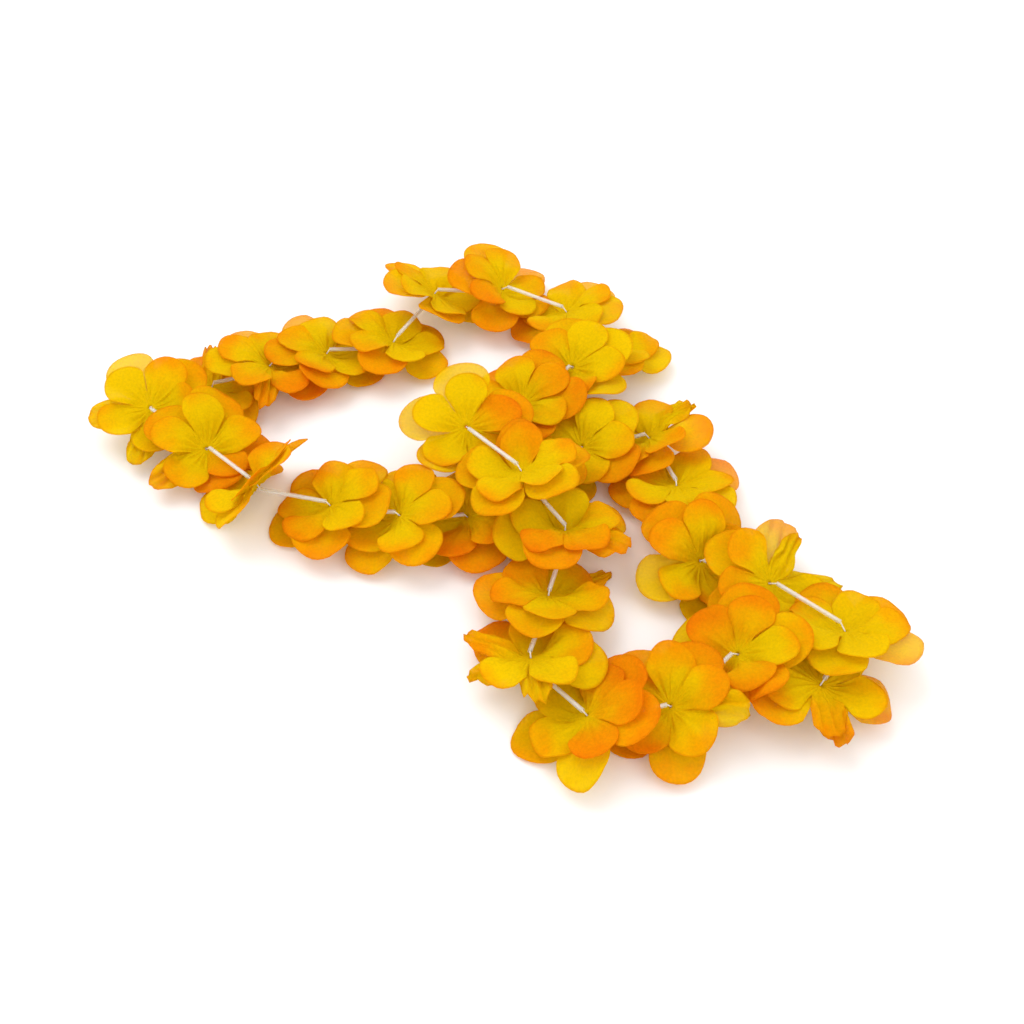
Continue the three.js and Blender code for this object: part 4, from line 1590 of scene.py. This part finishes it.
@dataclass
class Spacer:
    """One length of drinking straw between two blossom pairs."""

    index: int
    start: Array
    end: Array
    sizes: SpacerSizes
    material: bpy.types.Material
    sides: int = 28
    rings: int = 6

    def build(self) -> bpy.types.Object:
        """Makes the thin tube, with its ends cut by hand on a slant.

        Returns:
            The spacer piece.
        """
        start = (self.start - CENTRE) * MM
        end = (self.end - CENTRE) * MM
        along = Vector(end - start)
        turn = Vector((0, 0, 1)).rotation_difference(along.normalized()).to_matrix()
        tube = bmesh.new()
        outer = self.sizes.outer * MM
        bmesh.ops.create_circle(tube, segments=self.sides, radius=outer)
        edges = tube.edges[:]
        for _ in range(self.rings):
            made = bmesh.ops.extrude_edge_only(tube, edges=edges)["geom"]
            verts = [part for part in made if isinstance(part, bmesh.types.BMVert)]
            edges = [part for part in made if isinstance(part, bmesh.types.BMEdge)]
            step = Vector((0, 0, along.length / self.rings))
            bmesh.ops.translate(tube, verts=verts, vec=step)
        slant = 0.16 * vary(self.index, 1, 30)
        for vert in tube.verts:
            share = vert.co.z / along.length
            if share < 0.01 or share > 0.99:
                vert.co.z += slant * vert.co.x * (1 if share < 0.5 else -1)
        bmesh.ops.recalc_face_normals(tube, faces=tube.faces[:])
        bmesh.ops.transform(
            tube,
            matrix=Matrix.Translation(Vector(start)) @ turn.to_4x4(),
            verts=tube.verts[:],
        )
        node = f"straw_{self.index + 1:02d}"
        hidden = self.index + 1 in HIDDEN_SPACERS
        name = f"hidden_spacer_{self.index + 1:02d}" if hidden else f"{node}_tube"
        piece = settled(name, tube, self.material)
        wall = piece.modifiers.new("wall", "SOLIDIFY")
        wall.thickness = self.sizes.wall * MM
        wall.offset = -1.0
        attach(piece, "root")
        if not hidden:
            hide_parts(node)
        return piece


@dataclass
class StringThread:
    """The closed loop of thread through every hole and spacer, with its knot."""

    garland: Garland
    material: bpy.types.Material
    radius: float = 0.28
    knot_radius: float = 0.75
    sides: int = 8

    def _route(self) -> List[Array]:
        """Points of the loop in millimetres."""
        route: List[Array] = []
        for hub, (start, end) in zip(self.garland.hubs, self.garland.spacers):
            route.extend([hub.at, start, (start + end) / 2, end])
        return route

    def build(self) -> bpy.types.Object:
        """Makes the loop.

        Returns:
            The thread piece.
        """
        route = self._route()
        strand = bmesh.new()
        bmesh.ops.create_circle(strand, segments=self.sides, radius=self.radius * MM)
        base = strand.verts[:]
        shape = [vert.co.copy() for vert in base]
        count = len(route)
        rings = [base]
        edges = strand.edges[:]
        for _ in range(count - 1):
            made = bmesh.ops.extrude_edge_only(strand, edges=edges)["geom"]
            rings.append([p for p in made if isinstance(p, bmesh.types.BMVert)])
            edges = [p for p in made if isinstance(p, bmesh.types.BMEdge)]
        for number, (point, ring) in enumerate(zip(route, rings)):
            last = route[number - 1]
            following = route[(number + 1) % count]
            forward = Vector(unit(unit(following - point) + unit(point - last)))
            side = forward.cross(Vector(UP)).normalized()
            over = side.cross(forward)
            middle = Vector((point - CENTRE) * MM)
            for vert, flat in zip(ring, shape):
                vert.co = middle + side * flat.x + over * flat.y
        strand.edges.ensure_lookup_table()
        open_edges = [edge for edge in strand.edges if edge.is_boundary]
        bmesh.ops.bridge_loops(strand, edges=open_edges)
        self._tie_knot(strand)
        bmesh.ops.recalc_face_normals(strand, faces=strand.faces[:])
        piece = settled("thread_loop", strand, self.material)
        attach(piece, "root")
        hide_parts("thread")
        return piece

    def _tie_knot(self, strand: bmesh.types.BMesh) -> None:
        """Adds the knot inside the last spacer, which lies hidden in the pile."""
        start, end = self.garland.spacers[-1]
        middle = Vector(((start + end) / 2 - CENTRE) * MM)
        bmesh.ops.create_icosphere(
            strand,
            subdivisions=2,
            radius=self.knot_radius * MM,
            matrix=Matrix.Translation(middle),
        )


@dataclass(frozen=True)
class Studio:
    """White floor, soft light and the photograph's viewpoint.

    The elevation is in degrees, and the distance and the floor are in metres.
    """

    elevation: float = 48.0
    distance: float = 0.541
    focal_pixels: float = 1300.0
    picture_width: float = 1024.0
    sensor: float = 36.0
    floor_size: float = 6.0
    floor_tint: Tuple[float, float, float, float] = (0.97, 0.97, 0.97, 1.0)
    sky_strength: float = 1.08

    def camera(self) -> bpy.types.Object:
        """Places the camera where the photograph was taken.

        Returns:
            The camera.
        """
        lens = bpy.data.cameras.new("camera")
        lens.sensor_width = self.sensor
        lens.lens = self.focal_pixels / self.picture_width * self.sensor
        lens.clip_start = 0.01
        lens.clip_end = 20.0
        angle = math.radians(self.elevation)
        target = Vector(-CENTRE * MM)
        away = Vector((0.0, -math.cos(angle), math.sin(angle))) * self.distance
        view = bpy.data.objects.new("camera", lens)
        view.location = target + away
        view.rotation_euler = (-away).to_track_quat("-Z", "Y").to_euler()
        bpy.context.scene.collection.objects.link(view)
        bpy.context.scene.camera = view
        return view

    def floor(self) -> bpy.types.Object:
        """Lays the plain pale floor."""
        ground = bmesh.new()
        bmesh.ops.create_grid(
            ground, x_segments=1, y_segments=1, size=self.floor_size / 2
        )
        material, bench = start_material("pale floor")
        shader = bench.tree.nodes["Principled BSDF"]
        shader.inputs["Base Color"].default_value = self.floor_tint
        shader.inputs["Roughness"].default_value = 0.9
        shader.inputs["Specular IOR Level"].default_value = 0.1
        piece = settled("floor", ground, material)
        piece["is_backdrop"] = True
        return piece

    def lights(self) -> None:
        """Hangs a wide soft light over an even pale sky."""
        world = bpy.data.worlds.new("pale sky")
        world.use_nodes = True
        sky = world.node_tree.nodes["Background"]
        sky.inputs["Color"].default_value = (1.0, 1.0, 1.0, 1.0)
        sky.inputs["Strength"].default_value = self.sky_strength
        bpy.context.scene.world = world
        bpy.context.scene.view_settings.view_transform = "Standard"
        for name, place, size, power in (
            ("key", (-0.5, 0.35, 1.3), 1.0, 5.5),
            ("fill", (0.9, -0.9, 1.0), 1.2, 3.0),
        ):
            lamp = bpy.data.lights.new(name, "AREA")
            lamp.shape = "DISK"
            lamp.size = size
            lamp.energy = power
            stand = bpy.data.objects.new(name, lamp)
            stand.location = place
            stand.rotation_euler = (
                (-Vector(place)).to_track_quat("-Z", "Y").to_euler()
            )
            bpy.context.scene.collection.objects.link(stand)


YELLOW_CLOTH = ClothFinish(
    name="petal cloth",
    yellow=(0.93, 0.685, 0.001, 1.0),
    orange=(0.95, 0.415, 0.001, 1.0),
    deep=(0.92, 0.28, 0.001, 1.0),
    opacity=0.9,
    sheer_opacity=0.76,
)


def main() -> List[List[float]]:
    """Builds the garland, piece by piece.

    Returns:
        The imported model's box as lists of numbers.
    """
    logging.basicConfig(level=logging.INFO, format="%(message)s")
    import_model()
    packed = [[float(x) for x in corner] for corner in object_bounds()]
    studio = Studio()
    studio.camera()
    studio.floor()
    studio.lights()
    garland = Garland()
    garland.lay()
    weave = make_weave_group()
    spray = make_spray_group()
    cloth = YELLOW_CLOTH.make(weave, spray)
    plastic = PlasticFinish().make()
    fibre = ThreadFinish().make()
    heap = SheetHeap()
    for entry in LAYING:
        if entry > 0:
            BlossomPair(entry - 1, garland, cloth, heap).build()
    for index, (start, end) in enumerate(garland.spacers):
        Spacer(index, start, end, garland.spacer, plastic).build()
    StringThread(garland, fibre).build()
    return packed


if __name__ == "__main__":
    packed_box = main()
    bpy.context.view_layer.update()
